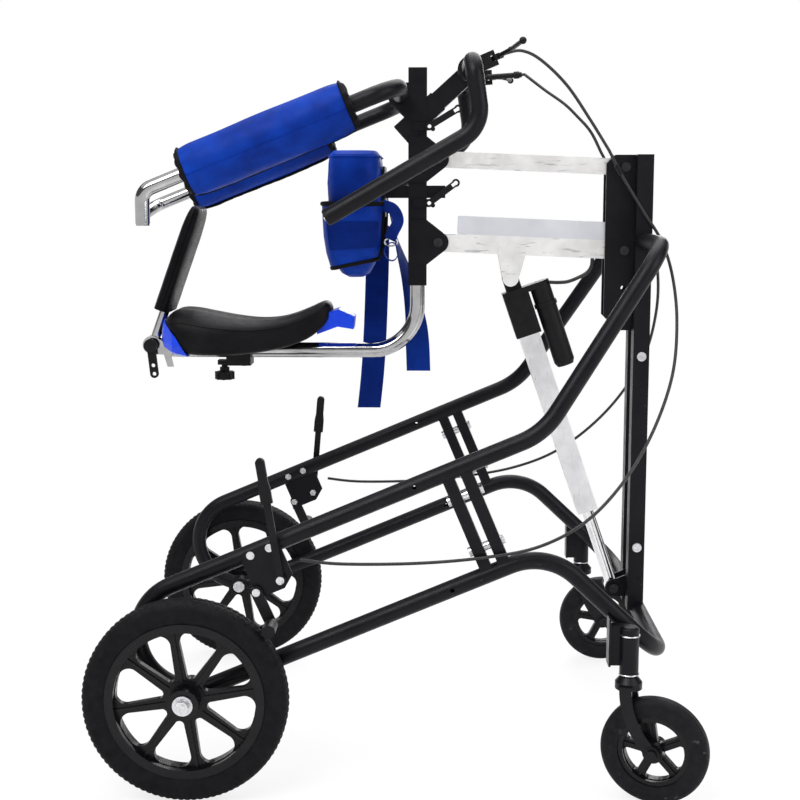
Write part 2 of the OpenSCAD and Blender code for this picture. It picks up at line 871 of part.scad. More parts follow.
module brake_plate_shape() {
    back = brake_bolt_ss[0] - brake_bolt_d * 2;
    front = brake_bolt_ss[1] + brake_bolt_d * 2;
    low = rail_gap - shoe_drop - shoe_w * 0.7;
    difference() {
        polygon([[back, rail_gap - tube_d / 4], [back + tube_d / 4, rail_gap + tube_d / 4],
            [front, rail_gap + tube_d / 4], [front, rail_gap - brake_lever_drop],
            [brake_lever_s, low], [shoe_s - shoe_w / 2, low], [back, rail_gap - shoe_drop]]);
        for (s = brake_bolt_ss) translate([s, rail_gap]) circle(d = brake_bolt_d + 2 * seat);
        translate([brake_lever_s, rail_gap - brake_lever_drop]) circle(d = brake_bolt_d + 2 * seat);
        translate([shoe_s, rail_gap - shoe_drop]) circle(d = brake_bolt_d + 2 * seat);
    }
}

module brake_brackets() {
    color("#17171b") stand() both_sides() on_rail()
        plate(rail_half - brake_y - brake_plate_t, brake_plate_t) brake_plate_shape();
}

module brake_lever(lean) {
    color("#17171b") translate([brake_lever_at[0], -brake_lever_y - brake_lever_t, brake_lever_at[2]])
        rotate([0, -lean, 0]) difference() {
            union() {
                translate([0, brake_lever_t, 0]) rotate([90, 0, 0]) linear_extrude(brake_lever_t) {
                    circle(d = brake_lever_w * 1.5);
                    translate([-brake_lever_w / 2, 0]) square([brake_lever_w, brake_lever_len - brake_grip_len / 2]);
                }
                translate([0, brake_lever_t / 2 + brake_grip_t / 2, brake_lever_len - brake_grip_len])
                    rotate([90, 0, 0]) linear_extrude(brake_grip_t) {
                        translate([0, brake_grip_len - brake_grip_w * 0.4]) circle(d = brake_grip_w * 0.8);
                        polygon([[-brake_grip_w / 2, 0], [brake_grip_w / 2, 0],
                            [brake_grip_w / 2, brake_grip_len / 3], [brake_grip_w * 0.4, brake_grip_len / 2],
                            [brake_grip_w * 0.4, brake_grip_len - brake_grip_w * 0.4],
                            [-brake_grip_w * 0.4, brake_grip_len - brake_grip_w * 0.4],
                            [-brake_grip_w * 0.4, brake_grip_len / 2], [-brake_grip_w / 2, brake_grip_len / 3]]);
                    }
            }
            cross_rod([0, 0, 0], -over, brake_lever_t + over, brake_bolt_d + 2 * run);
        }
}

module right_brake_lever() { stand() brake_lever(right_brake_lean); }
module left_brake_lever() { stand() left_side() brake_lever(left_brake_lean); }

// Swinging arm with a rubber roller in front of the tyre
module brake_shoe() {
    hang = [roller_at[0] - shoe_at[0], 0, roller_at[2] - shoe_at[2]];
    reach = norm(hang);
    color("#17171b") translate([shoe_at[0], -brake_lever_y - shoe_t, shoe_at[2]]) difference() {
        union() {
            cross_rod([0, 0, 0], 0, shoe_t, shoe_w);
            cross_rod(hang, 0, shoe_t, shoe_w);
            rotate([0, 90 - atan2(hang[2], hang[0]), 0]) translate([-shoe_w / 2, 0, 0]) cube([shoe_w, shoe_t, reach]);
            cross_rod(hang, -rear_w + shoe_t, shoe_t, shoe_roller_d / 2);
            cross_rod(hang, -rear_w + shoe_t, -shoe_t / 2, shoe_roller_d);
        }
        cross_rod([0, 0, 0], -over, shoe_t + over, brake_bolt_d + 2 * run);
    }
}

module right_brake_shoe() { stand() brake_shoe(); }
module left_brake_shoe() { stand() left_side() brake_shoe(); }

// Bolts of the frame: side joints, mast, brake brackets and brake pivots
module frame_bolts() {
    plate_out = brake_y + brake_plate_t;
    color("#c9cbcf") stand() {
        both_sides() {
            on_rail() bar_bolt_places() {
                bolt(bolt_d, 2 * bar_off + bar_w, bolt_head_d, bolt_head_h);
                translate([0, 0, bar_w]) cylinder(h = 2 * bar_off - bar_w, d = bolt_d * 1.7);
            }
            on_rail() for (s = brake_bolt_ss)
                translate([s, rail_half - plate_out, rail_gap]) rotate([-90, 0, 0])
                    bolt(brake_bolt_d, brake_plate_t + tube_d + seat, bolt_head_d * 0.8, brake_head_h);
            for (p = [brake_lever_at, shoe_at]) {
                translate([p[0], -brake_lever_y - brake_lever_t - wheel_play, p[2]]) rotate([-90, 0, 0])
                    bolt(brake_bolt_d, brake_plate_t + brake_head_h + brake_lever_t + 2 * wheel_play,
                        bolt_head_d * 0.8, brake_head_h);
                cross_rod(p, -plate_out - brake_head_h, -plate_out, bolt_head_d * 0.8);
            }
        }
        for (z = mast_bolt_zs)
            translate([post_x, -post_out, z]) rotate([-90, 0, 0])
                bolt(bolt_d, 2 * post_out, bolt_head_d, bolt_head_h);
    }
}

// Lift arms

// Arm frame: X from the mast pivot along the arm, origin at the pivot
module on_arm(p) {
    translate(p) rotate([0, arm_tilt, 0]) mirror([1, 0, 0]) children();
}

module arm_tube(h) {
    difference() {
        translate([-arm_end, -arm_w / 2, -h / 2]) cube([arm_len + 2 * arm_end, arm_w, h]);
        translate([-arm_end - over, -arm_w / 2 + arm_wall, -h / 2 + arm_wall])
            cube([arm_len + 2 * arm_end + 2 * over, arm_w - 2 * arm_wall, h - 2 * arm_wall]);
        for (x = [0, arm_len])
            cross_rod([x, 0, 0], -arm_w, arm_w, pin_d + 2 * run);
    }
}

module upper_arm() {
    color("#d8d8dc") stand() on_arm(high_pivot) arm_tube(upper_arm_h);
}

// Plates under the lower arm that hold the actuator's top pin
module lug_shape() {
    z0 = -lower_arm_h / 2;
    difference() {
        union() {
            translate([act_at[0], act_at[2]]) circle(r = eye_r);
            polygon([[act_at[0] - eye_r * 1.7, z0 + lower_arm_h * 0.7], [act_at[0] + eye_r * 1.7, z0 + lower_arm_h * 0.7],
                [act_at[0] + eye_r * 1.7, z0], [act_at[0] + eye_r, act_at[2]],
                [act_at[0] - eye_r, act_at[2]], [act_at[0] - eye_r * 1.7, z0]]);
        }
        translate([act_at[0], act_at[2]]) circle(d = pin_d + 2 * seat);
    }
}

// The actuator's top pin in the arm frame
act_at = let (d = act_top - low_pivot)
    [-d[0] * cos(arm_tilt) + d[2] * sin(arm_tilt), 0, d[2] * cos(arm_tilt) + d[0] * sin(arm_tilt)];

module lower_arm() {
    color("#d8d8dc") stand() on_arm(low_pivot) {
        arm_tube(lower_arm_h);
        plate(-arm_w / 2 - ear_t, ear_t) lug_shape();
        plate(arm_w / 2, ear_t) lug_shape();
        translate([act_at[0], -arm_w / 2 - ear_t, act_at[2]]) rotate([-90, 0, 0]) {
            cylinder(h = arm_w + 2 * ear_t, d = pin_d + 2 * seat);
            translate([0, 0, -bolt_head_h / 2]) cylinder(h = bolt_head_h / 2, d = bolt_head_d);
            translate([0, 0, arm_w + 2 * ear_t]) cylinder(h = bolt_head_h / 2, d = bolt_head_d);
        }
    }
}

// Open channel on top of the lower arm
module cable_tray() {
    z0 = lower_arm_h / 2 + seat;
    run_len = arm_len - tray_start - tray_stop;
    color("#c4c6cf") stand() on_arm(low_pivot) difference() {
        translate([tray_stop, -arm_w / 2, z0]) cube([run_len, arm_w, tray_h]);
        translate([tray_stop - over, -arm_w / 2 + tray_wall, z0 + tray_wall])
            cube([run_len + 2 * over, arm_w - 2 * tray_wall, tray_h]);
    }
}

// Actuator

// Actuator frame: -Z from the top pin to the foot pin
module on_actuator() {
    translate(act_top) rotate([0, -act_lean, 0]) children();
}

module actuator_head() {
    color("#141417") stand() on_actuator() difference() {
        union() {
            cross_rod([0, 0, 0], -eye_w / 2, eye_w / 2, 2 * eye_r);
            translate([-eye_r, -eye_w / 2, -head_top]) cube([2 * eye_r, eye_w, head_top]);
            translate([-head_w / 2, -barrel_w / 2, -head_top - head_len]) cube([head_w, barrel_w, head_len]);
            translate([0, -barrel_w / 2, -motor_start]) cube([motor_off, barrel_w, motor_start - head_top]);
            translate([motor_off, 0, -motor_start]) cylinder(h = motor_start - head_top, d = barrel_w);
        }
        cross_rod([0, 0, 0], -eye_w, eye_w, pin_d + 2 * seat + 2 * run);
    }
}

module actuator_barrel() {
    top = head_top + head_len;
    color("#dcdce0") stand() on_actuator() difference() {
        translate([-barrel_w / 2, -barrel_w / 2, -barrel_len]) cube([barrel_w, barrel_w, barrel_len - top]);
        translate([0, 0, -barrel_len - over]) cylinder(h = barrel_len - top, d = rod_d + 2 * run);
        for (a = [0, 90, 180, 270]) rotate([0, 0, a])
            translate([barrel_w / 2 - groove / 2, -groove / 2, -barrel_len - over])
                cube([groove, groove, barrel_len - top + 2 * over]);
    }
}

module actuator_motor() {
    color("#141417") stand() on_actuator() {
        translate([motor_off, 0, -motor_start - motor_len]) cylinder(h = motor_len - seat, d = motor_w);
        translate([motor_off, 0, -motor_start - motor_len - band_w]) cylinder(h = band_w, d1 = motor_w * 0.8, d2 = motor_w);
        translate([motor_off, 0, -motor_start - motor_len / 4]) cylinder(h = band_w, d = motor_w + 2 * tube_wall);
    }
}

module actuator_rod() {
    color("#d0d2d6") stand() on_actuator() difference() {
        union() {
            translate([0, 0, -act_len]) cylinder(h = act_len - barrel_len + rod_inside, d = rod_d);
            cross_rod([0, 0, -act_len], -eye_w / 2, eye_w / 2, 2 * eye_r);
        }
        cross_rod([0, 0, -act_len], -eye_w, eye_w, pin_d);
    }
}

// Carriage

module gusset_shape(p) {
    face = ux + upright_w / 2;
    difference() {
        union() {
            translate([p[0], p[2]]) circle(r = gusset_r);
            polygon([[ux - upright_w / 2 + tube_wall, p[2] + gusset_rise], [face, p[2] + gusset_rise],
                [p[0] + gusset_r * 0.6, p[2] + gusset_r * 0.8], [p[0] + gusset_r * 0.6, p[2] - gusset_r * 0.8],
                [face, p[2] - gusset_rise], [ux - upright_w / 2 + tube_wall, p[2] - gusset_rise]]);
        }
        translate([p[0], p[2]]) circle(d = pin_d + 2 * seat);
    }
}

module bracket_shape() {
    difference() {
        union() {
            translate([arm_x, arm_z]) circle(r = bracket_r);
            polygon([[arm_x, arm_z + bracket_r], [ux + upright_w / 2, arm_z + bracket_r],
                [ux + upright_w / 2, arm_z - 2 * bracket_r], [ux - upright_w / 2, arm_z - 2 * bracket_r],
                [arm_x - bracket_r * 0.7, arm_z - bracket_r * 0.7]]);
        }
        translate([arm_x, arm_z]) circle(d = tube_d + 2 * seat);
    }
}

module cam_lug_shape(z) {
    difference() {
        union() {
            translate([ux + cam_out, z]) circle(d = cam_w);
            translate([ux - upright_w / 4, z - cam_w / 2]) square([upright_w / 4 + cam_out, cam_w]);
        }
        translate([ux + cam_out, z]) circle(d = bolt_d * 0.75 + 2 * seat);
    }
}

// Stem frame: X along the stem, origin where it crosses the upright
module on_stem() {
    translate([ux, 0, stem_z]) rotate([0, -stem_slope, 0]) children();
}

module upright() {
    inner = upright_w - 2 * upright_wall;
    socket = stem_w + 2 * run;
    color("#121215") stand() difference() {
        union() {
            difference() {
                translate([ux - upright_w / 2, -upright_w / 2, upright_foot])
                    cube([upright_w, upright_w, upright_top - upright_foot]);
                translate([ux - inner / 2, -inner / 2, upright_foot - over])
                    cube([inner, inner, upright_top - upright_foot - upright_wall]);
            }
            on_stem() translate([-sleeve_back, -sleeve_w / 2, -sleeve_w / 2])
                cube([sleeve_back + sleeve_front, sleeve_w, sleeve_w]);
            for (p = [low_carry, high_carry]) both_sides()
                plate(-upright_w / 2 - gusset_t, gusset_t) gusset_shape(p);
            both_sides() plate(-upright_w / 2 - bracket_t, bracket_t) bracket_shape();
            for (z = [upper_cam_z, lower_cam_z])
                plate(-upright_w / 2 - lug_t, lug_t) cam_lug_shape(z);
        }
        on_stem() translate([-sleeve_back - over, -socket / 2, -socket / 2])
            cube([sleeve_back + sleeve_front + 2 * over, socket, socket]);
        translate([ux - upright_w, -chest_bar_w / 2 - run, chest_bar_z - chest_bar_w / 2 - run])
            cube([2 * upright_w, chest_bar_w + 2 * run, chest_bar_w + 2 * run]);
        cross_rod([arm_x, 0, arm_z], -upright_w, upright_w, tube_d + 2 * seat);
    }
}

module carriage_pins() {
    out = upright_w / 2 + gusset_t;
    color("#2a2a2e") stand() for (p = [low_carry, high_carry])
        translate([p[0], -out, p[2]]) rotate([-90, 0, 0]) bolt(pin_d, 2 * out, bolt_head_d, bolt_head_h);
}

// Chrome tube that drops from the upright and runs back under the saddle, with hinge cheeks at its end
module seat_tube() {
    tail = [ux - seat_run, 0, seat_z];
    color("#c8cacf") stand() {
        bent_tube([[ux, 0, upright_foot + seat_bend_r / 2], [ux, 0, seat_z], tail], [seat_bend_r],
            seat_tube_d, seat_tube_d - 2 * tube_wall);
        for (y = [-back_post_d / 2 - back_plate_t - run, back_post_d / 2 + run])
            plate(y, back_plate_t) difference() {
                union() {
                    translate([back_x, back_z]) circle(r = back_plate_r);
                    polygon([[back_x, back_z + back_plate_r], [tail[0] + back_plate_r, seat_z + seat_tube_d * 0.3],
                        [tail[0] + back_plate_r, seat_z - seat_tube_d * 0.3], [back_x, back_z - back_plate_r]]);
                }
                translate([back_x, back_z]) circle(d = pin_d + 2 * seat);
            }
        translate([back_x, -back_post_d / 2 - back_plate_t - run, back_z]) rotate([-90, 0, 0])
            bolt(pin_d - 2 * run, back_post_d + 2 * back_plate_t + 2 * run, bolt_head_d, bolt_head_h);
        plate(-back_post_d / 2 - back_plate_t - run, latch_t)
            polygon([[back_x + back_plate_r, back_z], [back_x + back_plate_r + latch_w, back_z],
                [back_x + back_plate_r + latch_w * 1.6, back_z - latch_len],
                [back_x + back_plate_r + latch_w * 0.8, back_z - latch_len]]);
    }
}

module arm_path(extra) {
    tip = [arm_x - arm_tube_run * cos(arm_slope), -arm_half, arm_z - arm_tube_run * sin(arm_slope)];
    corner = [arm_x, -arm_half, arm_z];
    bent_tube([tip, corner, mirror_y(corner), mirror_y(tip)], [arm_bend_r, arm_bend_r], tube_d + extra,
        tube_d - 2 * tube_wall);
}

module armrest_tube() {
    color("#1b1b20") stand() arm_path(0);
}

// Arm frame: X from the cross tube back along the right arm
module on_right_arm() {
    translate([arm_x, -arm_half, arm_z]) rotate([0, -arm_slope, 0]) mirror([1, 0, 0]) children();
}

// Chrome tube that slides in the arm, its bent and plugged end pointing down or rolled inwards
module arm_extension(reach, roll) {
    drop = ext_drop + ext_bend_r;
    end = [ext_run + reach, 0, 0];
    way = [sin(arm_slope), 0, -cos(arm_slope)];
    color("#cfd1d6") stand() on_right_arm() rotate([roll, 0, 0]) {
        bent_tube([[ext_start + reach, 0, 0], end, end + drop * way], [ext_bend_r], ext_d, ext_d - 2 * ext_wall);
        rod(end + (drop - plug_h) * way, end + (drop + plug_h / 2) * way, ext_d - ext_wall);
    }
}

// Foam sleeve with a swelling middle, drawn-in ends and piped rims
module arm_pad(reach) {
    r = pad_d / 2;
    bore = tube_d / 2 + soft;
    color("#123a9c") stand() on_right_arm() translate([pad_start + reach, 0, 0]) rotate([0, 90, 0])
        rotate_extrude() difference() {
            union() {
                polygon([[0, 0], [r * pad_nose_share, 0], [r * 0.93, pad_len * 0.08], [r, pad_len * 0.35],
                    [r, pad_len * 0.7], [r * 0.95, pad_len * 0.94], [r * 0.88, pad_len], [0, pad_len]]);
                translate([r * pad_nose_share, pad_round / 3]) circle(d = pad_round / 2);
                translate([r * 0.88, pad_len - pad_round / 3]) circle(d = pad_round / 2);
            }
            translate([-over, -pad_round]) square([bore + over, pad_len + 2 * pad_round]);
        }
}

module right_arm_extension() { arm_extension(0, 0); }
module right_arm_pad() { arm_pad(0); }
module left_arm_extension() { left_side() arm_extension(left_reach, left_ext_roll); }
module left_arm_pad() { left_side() arm_pad(left_reach); }

// Handlebar

bar_low = [bar_x + bar_lean, -bar_half, bar_z - bar_drop];
grip_end = bar_low + grip_len * [-cos(grip_slope), 0, -sin(grip_slope)];
bar_corner = [bar_x, -bar_half, bar_z];

module handlebar() {
    color("#1f1f25") stand() {
        bent_tube([grip_end, bar_low, bar_corner, mirror_y(bar_corner), mirror_y(bar_low), mirror_y(grip_end)],
            [bar_bend_r, bar_bend_r / 2, bar_bend_r / 2, bar_bend_r], tube_d, tube_d - 2 * tube_wall);
        on_stem() translate([-sleeve_back * 0.7, -stem_w / 2, -stem_w / 2])
            cube([stem_reach + sleeve_back * 0.7 + stem_w * 0.6, stem_w, stem_w]);
    }
}

// Brake lever frame: X away from the cross bar, Y along it towards the near end
module on_bar(tilt) {
    translate([bar_x, -lever_y, bar_z]) rotate([0, -tilt, 0]) children();
}

module lever_body(tilt, exit) {
    slot_end = lever_pivot_out + lever_body_len;
    clamp_d = tube_d + 2 * lever_clamp_w / 3;
    on_bar(tilt) difference() {
        union() {
            cross_rod([0, 0, 0], -lever_clamp_w / 2, lever_clamp_w / 2, clamp_d);
            translate([0, -lever_clamp_w / 2, -lever_body_w / 4]) cube([lever_pivot_out, lever_clamp_w, lever_body_w / 2]);
            translate([tube_d / 2, -lever_clamp_w / 2, -lever_body_w / 2])
                cube([lever_body_len - tube_d / 2, lever_clamp_w / 2 - run, lever_body_w]);
            rod([lever_pivot_out - barrel_d, lever_clamp_w / 3, 0], [exit, lever_clamp_w / 3, 0], barrel_d);
            if (exit > slot_end + barrel_d)
                rod([slot_end, lever_clamp_w / 3, 0], [slot_end + barrel_d, lever_clamp_w / 3, 0], adjuster_d);
        }
        cross_rod([0, 0, 0], -lever_clamp_w, lever_clamp_w, tube_d + 2 * seat);
        translate([lever_pivot_out, -lever_clamp_w, -lever_t / 2 - wheel_play])
            cube([lever_body_len, lever_clamp_w * 1.2, lever_t + 2 * wheel_play]);
    }
}

module lever_bodies() {
    color("#151518") stand() {
        lever_body(right_lever_tilt, right_exit);
        left_side() lever_body(left_lever_tilt, left_exit);
    }
}

// Blade with a ball end, running out along the cross bar and away from it
module hand_lever(tilt) {
    root = [lever_pivot_out + lever_t, -lever_clamp_w / 4, 0];
    knee = [lever_reach * 0.82, -lever_blade * 0.3, 0];
    tip = [lever_reach, -lever_blade, 0];
    color("#151518") on_bar(tilt) {
        rod(root, knee, lever_rod_d);
        rod(knee, tip, lever_rod_d);
        translate(root - [0, 0, lever_t / 2]) cylinder(h = lever_t, d = lever_t * 1.3);
        translate(knee) sphere(d = lever_t);
        translate(tip) sphere(d = lever_ball_d);
    }
}

module right_hand_lever() { stand() hand_lever(right_lever_tilt); }
module left_hand_lever() { stand() left_side() hand_lever(left_lever_tilt); }

// Slotted lever that tightens a sliding tube
module cam_lever(z, rise) {
    color("#17171a") stand() translate([ux + cam_out, -upright_w / 2 - lug_t - wheel_play, z]) rotate([0, -rise, 0])
        difference() {
            rotate([90, 0, 0]) linear_extrude(cam_t) {
                circle(d = cam_w);
                translate([0, -cam_w * 0.4]) square([cam_len - cam_w / 2, cam_w * 0.8]);
                translate([cam_len - cam_w / 2, 0]) circle(d = cam_w);
                translate([cam_w * 0.2, -cam_w * 0.5]) circle(d = cam_w * 0.55);
            }
            translate([0, over, 0]) rotate([90, 0, 0]) linear_extrude(cam_t + 2 * over) {
                translate([cam_len - cam_w * 0.5, 0]) circle(d = cam_w * 0.5);
                translate([cam_len - cam_w * 1.1, -cam_w * 0.2]) square([cam_w * 0.6, cam_w * 0.4]);
                circle(d = bolt_d * 0.75 + 2 * run);
            }
        }
}

module upper_cam_lever() { cam_lever(upper_cam_z, upper_cam_rise); }
module lower_cam_lever() { cam_lever(lower_cam_z, lower_cam_rise); }

// Saddle

// Stations from tail to nose: place, top, skirt and half width, as shares of the saddle's own sizes
saddle_x_shares = [0, 0.03, 0.09, 0.18, 0.29, 0.43, 0.57, 0.69, 0.79, 0.88, 0.95, 0.985, 1];
saddle_top_shares = [0.46, 0.68, 0.83, 0.83, 0.76, 0.68, 0.64, 0.67, 0.76, 0.88, 0.98, 0.96, 0.86];
saddle_skirt_shares = [0.27, 0.18, 0.08, 0.02, 0, 0, 0.03, 0.09, 0.18, 0.32, 0.52, 0.68, 0.8];
saddle_half_shares = [0.32, 0.66, 0.87, 0.97, 1, 0.93, 0.76, 0.61, 0.5, 0.44, 0.38, 0.27, 0.14];

function saddle_ring(i, grow) = let (
    x = saddle_tail + saddle_len * saddle_x_shares[i],
    top = saddle_foot + saddle_h * saddle_top_shares[i] + grow,
    low = saddle_foot + saddle_h * saddle_skirt_shares[i] - grow,
    w = saddle_half * saddle_half_shares[i] + grow,
    roof = max(low, min(tunnel_z - grow, top - 4 * soft)),
    t = min(tunnel_half - grow, w * 0.7),
    h = top - low,
    half = [[0, top], [w * 0.45, top - h * 0.02], [w * 0.78, top - h * 0.1], [w * 0.95, top - h * 0.27],
        [w, top - h * 0.5], [w * 0.99, low + h * 0.2], [w * 0.93, low + h * 0.04], [w * 0.85, low],
        [t, low], [t * 0.98, roof]],
    all = concat(half, [for (j = [len(half) - 1:-1:1]) [-half[j][0], half[j][1]]]))
    [for (p = all) [x, p[0], p[1]]];

module saddle_form(grow) {
    skin([for (i = [0:len(saddle_x_shares) - 1]) saddle_ring(i, grow)]);
}

module saddle() {
    color("#17171a") stand() saddle_form(0);
}

// Bright tail corners and nose of the saddle's moulded base
module saddle_trim() {
    nose_x = saddle_tail + saddle_len * 0.91;
    nose_z = saddle_foot + saddle_h * 0.35;
    tail_z = saddle_foot + saddle_h * 0.66;
    wing = saddle_half * 0.42;
    color("#0b3be0") stand() {
        difference() {
            intersection() {
                saddle_form(soft + plate_t);
                translate([0, saddle_half * 2, 0]) rotate([90, 0, 0]) linear_extrude(4 * saddle_half)
                    polygon([[saddle_tail - wing, saddle_foot - over], [saddle_tail + wing * 1.25, saddle_foot - over],
                        [saddle_tail + wing * 0.8, saddle_foot + saddle_h * 0.34], [saddle_tail + wing * 0.2, tail_z],
                        [saddle_tail - wing, tail_z]]);
            }
            saddle_form(soft);
            translate([saddle_tail - wing, -tunnel_half, saddle_foot - saddle_h]) cube([3 * wing, 2 * tunnel_half,
                saddle_h + tunnel_z - saddle_foot]);
        }
        difference() {
            plate(-nose_half, 2 * nose_half) polygon([[nose_x, nose_z], [nose_x, nose_z + saddle_h * 0.36],
                [nose_x + wing * 0.9, nose_z + saddle_h * 0.49], [nose_x + wing * 1.55, nose_z + saddle_h * 0.35],
                [nose_x + wing * 1.5, nose_z + saddle_h * 0.1], [nose_x + wing * 0.85, nose_z + saddle_h * 0.15]]);
            saddle_form(soft);
        }
    }
}

// Block that hugs the seat tube under the saddle
module seat_clamp() {
    top = tunnel_z - seat;
    color("#131316") stand() difference() {
        union() {
            translate([clamp_x - clamp_len / 2, -clamp_half, seat_z - clamp_drop])
                cube([clamp_len, 2 * clamp_half, top - seat_z + clamp_drop]);
            translate([knob_x - knob_stem_d, -knob_stem_d, seat_z - clamp_drop])
                cube([2 * knob_stem_d + over, 2 * knob_stem_d, clamp_drop - seat_tube_d / 2 - plate_t]);
            translate([clamp_x + clamp_len / 6, 0, seat_z - clamp_drop - bolt_head_h / 2])
                cylinder(h = bolt_head_h, d = bolt_head_d * 0.7);
        }
        rod([clamp_x - clamp_len * 2, 0, seat_z], [clamp_x + clamp_len * 2, 0, seat_z], seat_tube_d + 2 * run);
        translate([knob_x, 0, seat_z - clamp_drop - over]) cylinder(h = clamp_drop, d = knob_stem_d + 2 * run);
    }
}

// Hand screw beside the clamp
module seat_knob() {
    top = seat_z - seat_tube_d / 2 - plate_t;
    low = seat_z - clamp_drop - knob_stem_h;
    color("#131316") stand() translate([knob_x, 0, 0]) {
        translate([0, 0, low]) cylinder(h = top - low, d = knob_stem_d);
        translate([0, 0, low]) cylinder(h = knob_stem_h * 0.6, d = knob_stem_d * 1.6);
        translate([0, 0, low - knob_h]) cylinder(h = knob_h, d = knob_d);
        for (i = [0:7]) rotate([0, 0, 45 * i])
            translate([knob_d / 2, 0, low - knob_h]) cylinder(h = knob_h, d = knob_d / 6);
    }
}

// Back rest

module on_back() {
    translate([back_x, 0, back_z]) rotate([0, back_lean, 0]) children();
}

module back_post() {
    color("#c8cacf") stand() on_back() difference() {
        union() {
            cross_rod([0, 0, 0], -back_post_d / 2, back_post_d / 2, 2 * back_eye_r);
            cylinder(h = back_post_len, d = back_post_d - 2 * tube_wall);
        }
        cross_rod([0, 0, 0], -back_post_d, back_post_d, pin_d);
    }
}

// Clamp lever with a round head that hangs beside the hinge
module back_lever() {
    y0 = -back_post_d / 2 - back_plate_t - run - bolt_head_h - soft;
    color("#141417") stand() translate([back_x, y0, back_z]) rotate([90, 0, 0]) {
        cylinder(h = back_knob_h, d = back_knob_d);
        rotate([0, 0, back_lever_turn]) linear_extrude(cam_t) difference() {
            union() {
                translate([-back_lever_w / 2, -back_lever_len + back_lever_w / 2])
                    square([back_lever_w, back_lever_len - back_lever_w / 2]);
                translate([0, -back_lever_len + back_lever_w / 2]) circle(d = back_lever_w);
            }
            translate([0, -back_lever_len + back_lever_w / 2]) circle(d = back_lever_w * 0.45);
            translate([0, -back_lever_len + back_lever_w * 1.5]) circle(d = back_lever_w * 0.45);
        }
    }
}

// Padded panel with a crown on both faces and rounded corners
back_rows = 13;
back_cols = 24;

function back_ring(i) = let (
    v = i / (back_rows - 1),
    e = pow(1 - pow(max(2 * v - 1, 0), 4), 0.5),
    w = back_w / 2 * (0.72 + 0.28 * e),
    t = back_t / 2 * (0.45 + 0.55 * e))
    [for (k = [0:back_cols - 1]) let (a = -360 * k / back_cols, c = cos(a), s = sin(a))
        [t * sign(c) * pow(abs(c), 0.6), w * sign(s) * pow(abs(s), 0.5), back_start + back_h * v]];

module back_pad() {
    color("#17171a") stand() on_back() difference() {
        skin([for (i = [0:back_rows - 1]) back_ring(i)]);
        translate([0, 0, back_start - over]) cylinder(h = back_post_len - back_start + over + soft,
            d = back_post_d - 2 * tube_wall + 2 * soft);
    }
}

// Chest pad

module chest_bar() {
    color("#141417") stand() {
        translate([chest_x + chest_t / 2 + plate_t + soft, -chest_bar_w / 2, chest_bar_z - chest_bar_w / 2])
            cube([ux + upright_w / 2 + chest_bar_front - chest_x - chest_t / 2 - plate_t - soft, chest_bar_w,
                chest_bar_w]);
        translate([chest_x + chest_t / 2 + soft, -chest_w / 4, chest_bar_z - chest_h / 5])
            cube([plate_t, chest_w / 2, chest_h * 0.4]);
    }
}

chest_cols = 28;
// Rows of the chest pad from the foot up: place and depth and width, as shares of its sizes
chest_v_shares = [0, 0.03, 0.1, 0.25, 0.5, 0.75, 0.9, 0.97, 1];
chest_depth_shares = [0.3, 0.52, 0.72, 0.87, 0.95, 1, 0.97, 0.85, 0.6];
chest_width_shares = [0.4, 0.58, 0.74, 0.9, 0.97, 1, 0.97, 0.9, 0.78];

function chest_ring(i) = let (
    a0 = chest_t / 2 * chest_depth_shares[i],
    b = chest_w / 2 * chest_width_shares[i],
    z = chest_top - chest_h * (1 - chest_v_shares[i]))
    [for (k = [0:chest_cols - 1]) let (a = 360 * k / chest_cols, c = cos(a), s = sin(a))
        [chest_x + a0 * sign(c) * pow(abs(c), 0.55), b * sign(s) * pow(abs(s), 0.55), z]];

module chest_pad() {
    color("#0f2f9a") stand() skin([for (i = [0:len(chest_v_shares) - 1]) chest_ring(i)]);
}

// Padded belt wrapped round the lower half of the chest pad, open where the pad's bar is fixed
belt_open = 3;
belt_steps = chest_cols - 2 * belt_open;
// Points of the belt's section: shares of its thickness and half height; the inner ones follow the pad's rows
belt_rows = [for (v = chest_v_shares) let (h = 2 * (chest_top - chest_h * (1 - v) - belt_z) / belt_h)
    if (abs(h) < 0.98) h];
belt_section_shares = concat([[1.15, 0], [1, -0.8], [0.75, -1], [0, -1]], [for (h = belt_rows) [0, h]],
    [[0, 1], [0.75, 1], [1, 0.8]]);

function chest_share(shares, z) = lookup((z - chest_top + chest_h) / chest_h,
    [for (i = [0:len(shares) - 1]) [chest_v_shares[i], shares[i]]]);
function belt_ring(k) = let (
    a = 360 * (belt_open + k) / chest_cols,
    c = cos(a),
    s = sin(a))
    [for (p = belt_section_shares) let (
        z = belt_z + belt_h / 2 * p[1],
        a0 = chest_t / 2 * chest_share(chest_depth_shares, z) + 2 * soft + belt_t * p[0],
        b0 = chest_w / 2 * chest_share(chest_width_shares, z) + 2 * soft + belt_t * p[0])
        [chest_x + a0 * sign(c) * pow(abs(c), 0.55), b0 * sign(s) * pow(abs(s), 0.55), z]];

module chest_belt() {
    color("#1440b4") stand() skin([for (k = [0:belt_steps]) belt_ring(k)]);
}

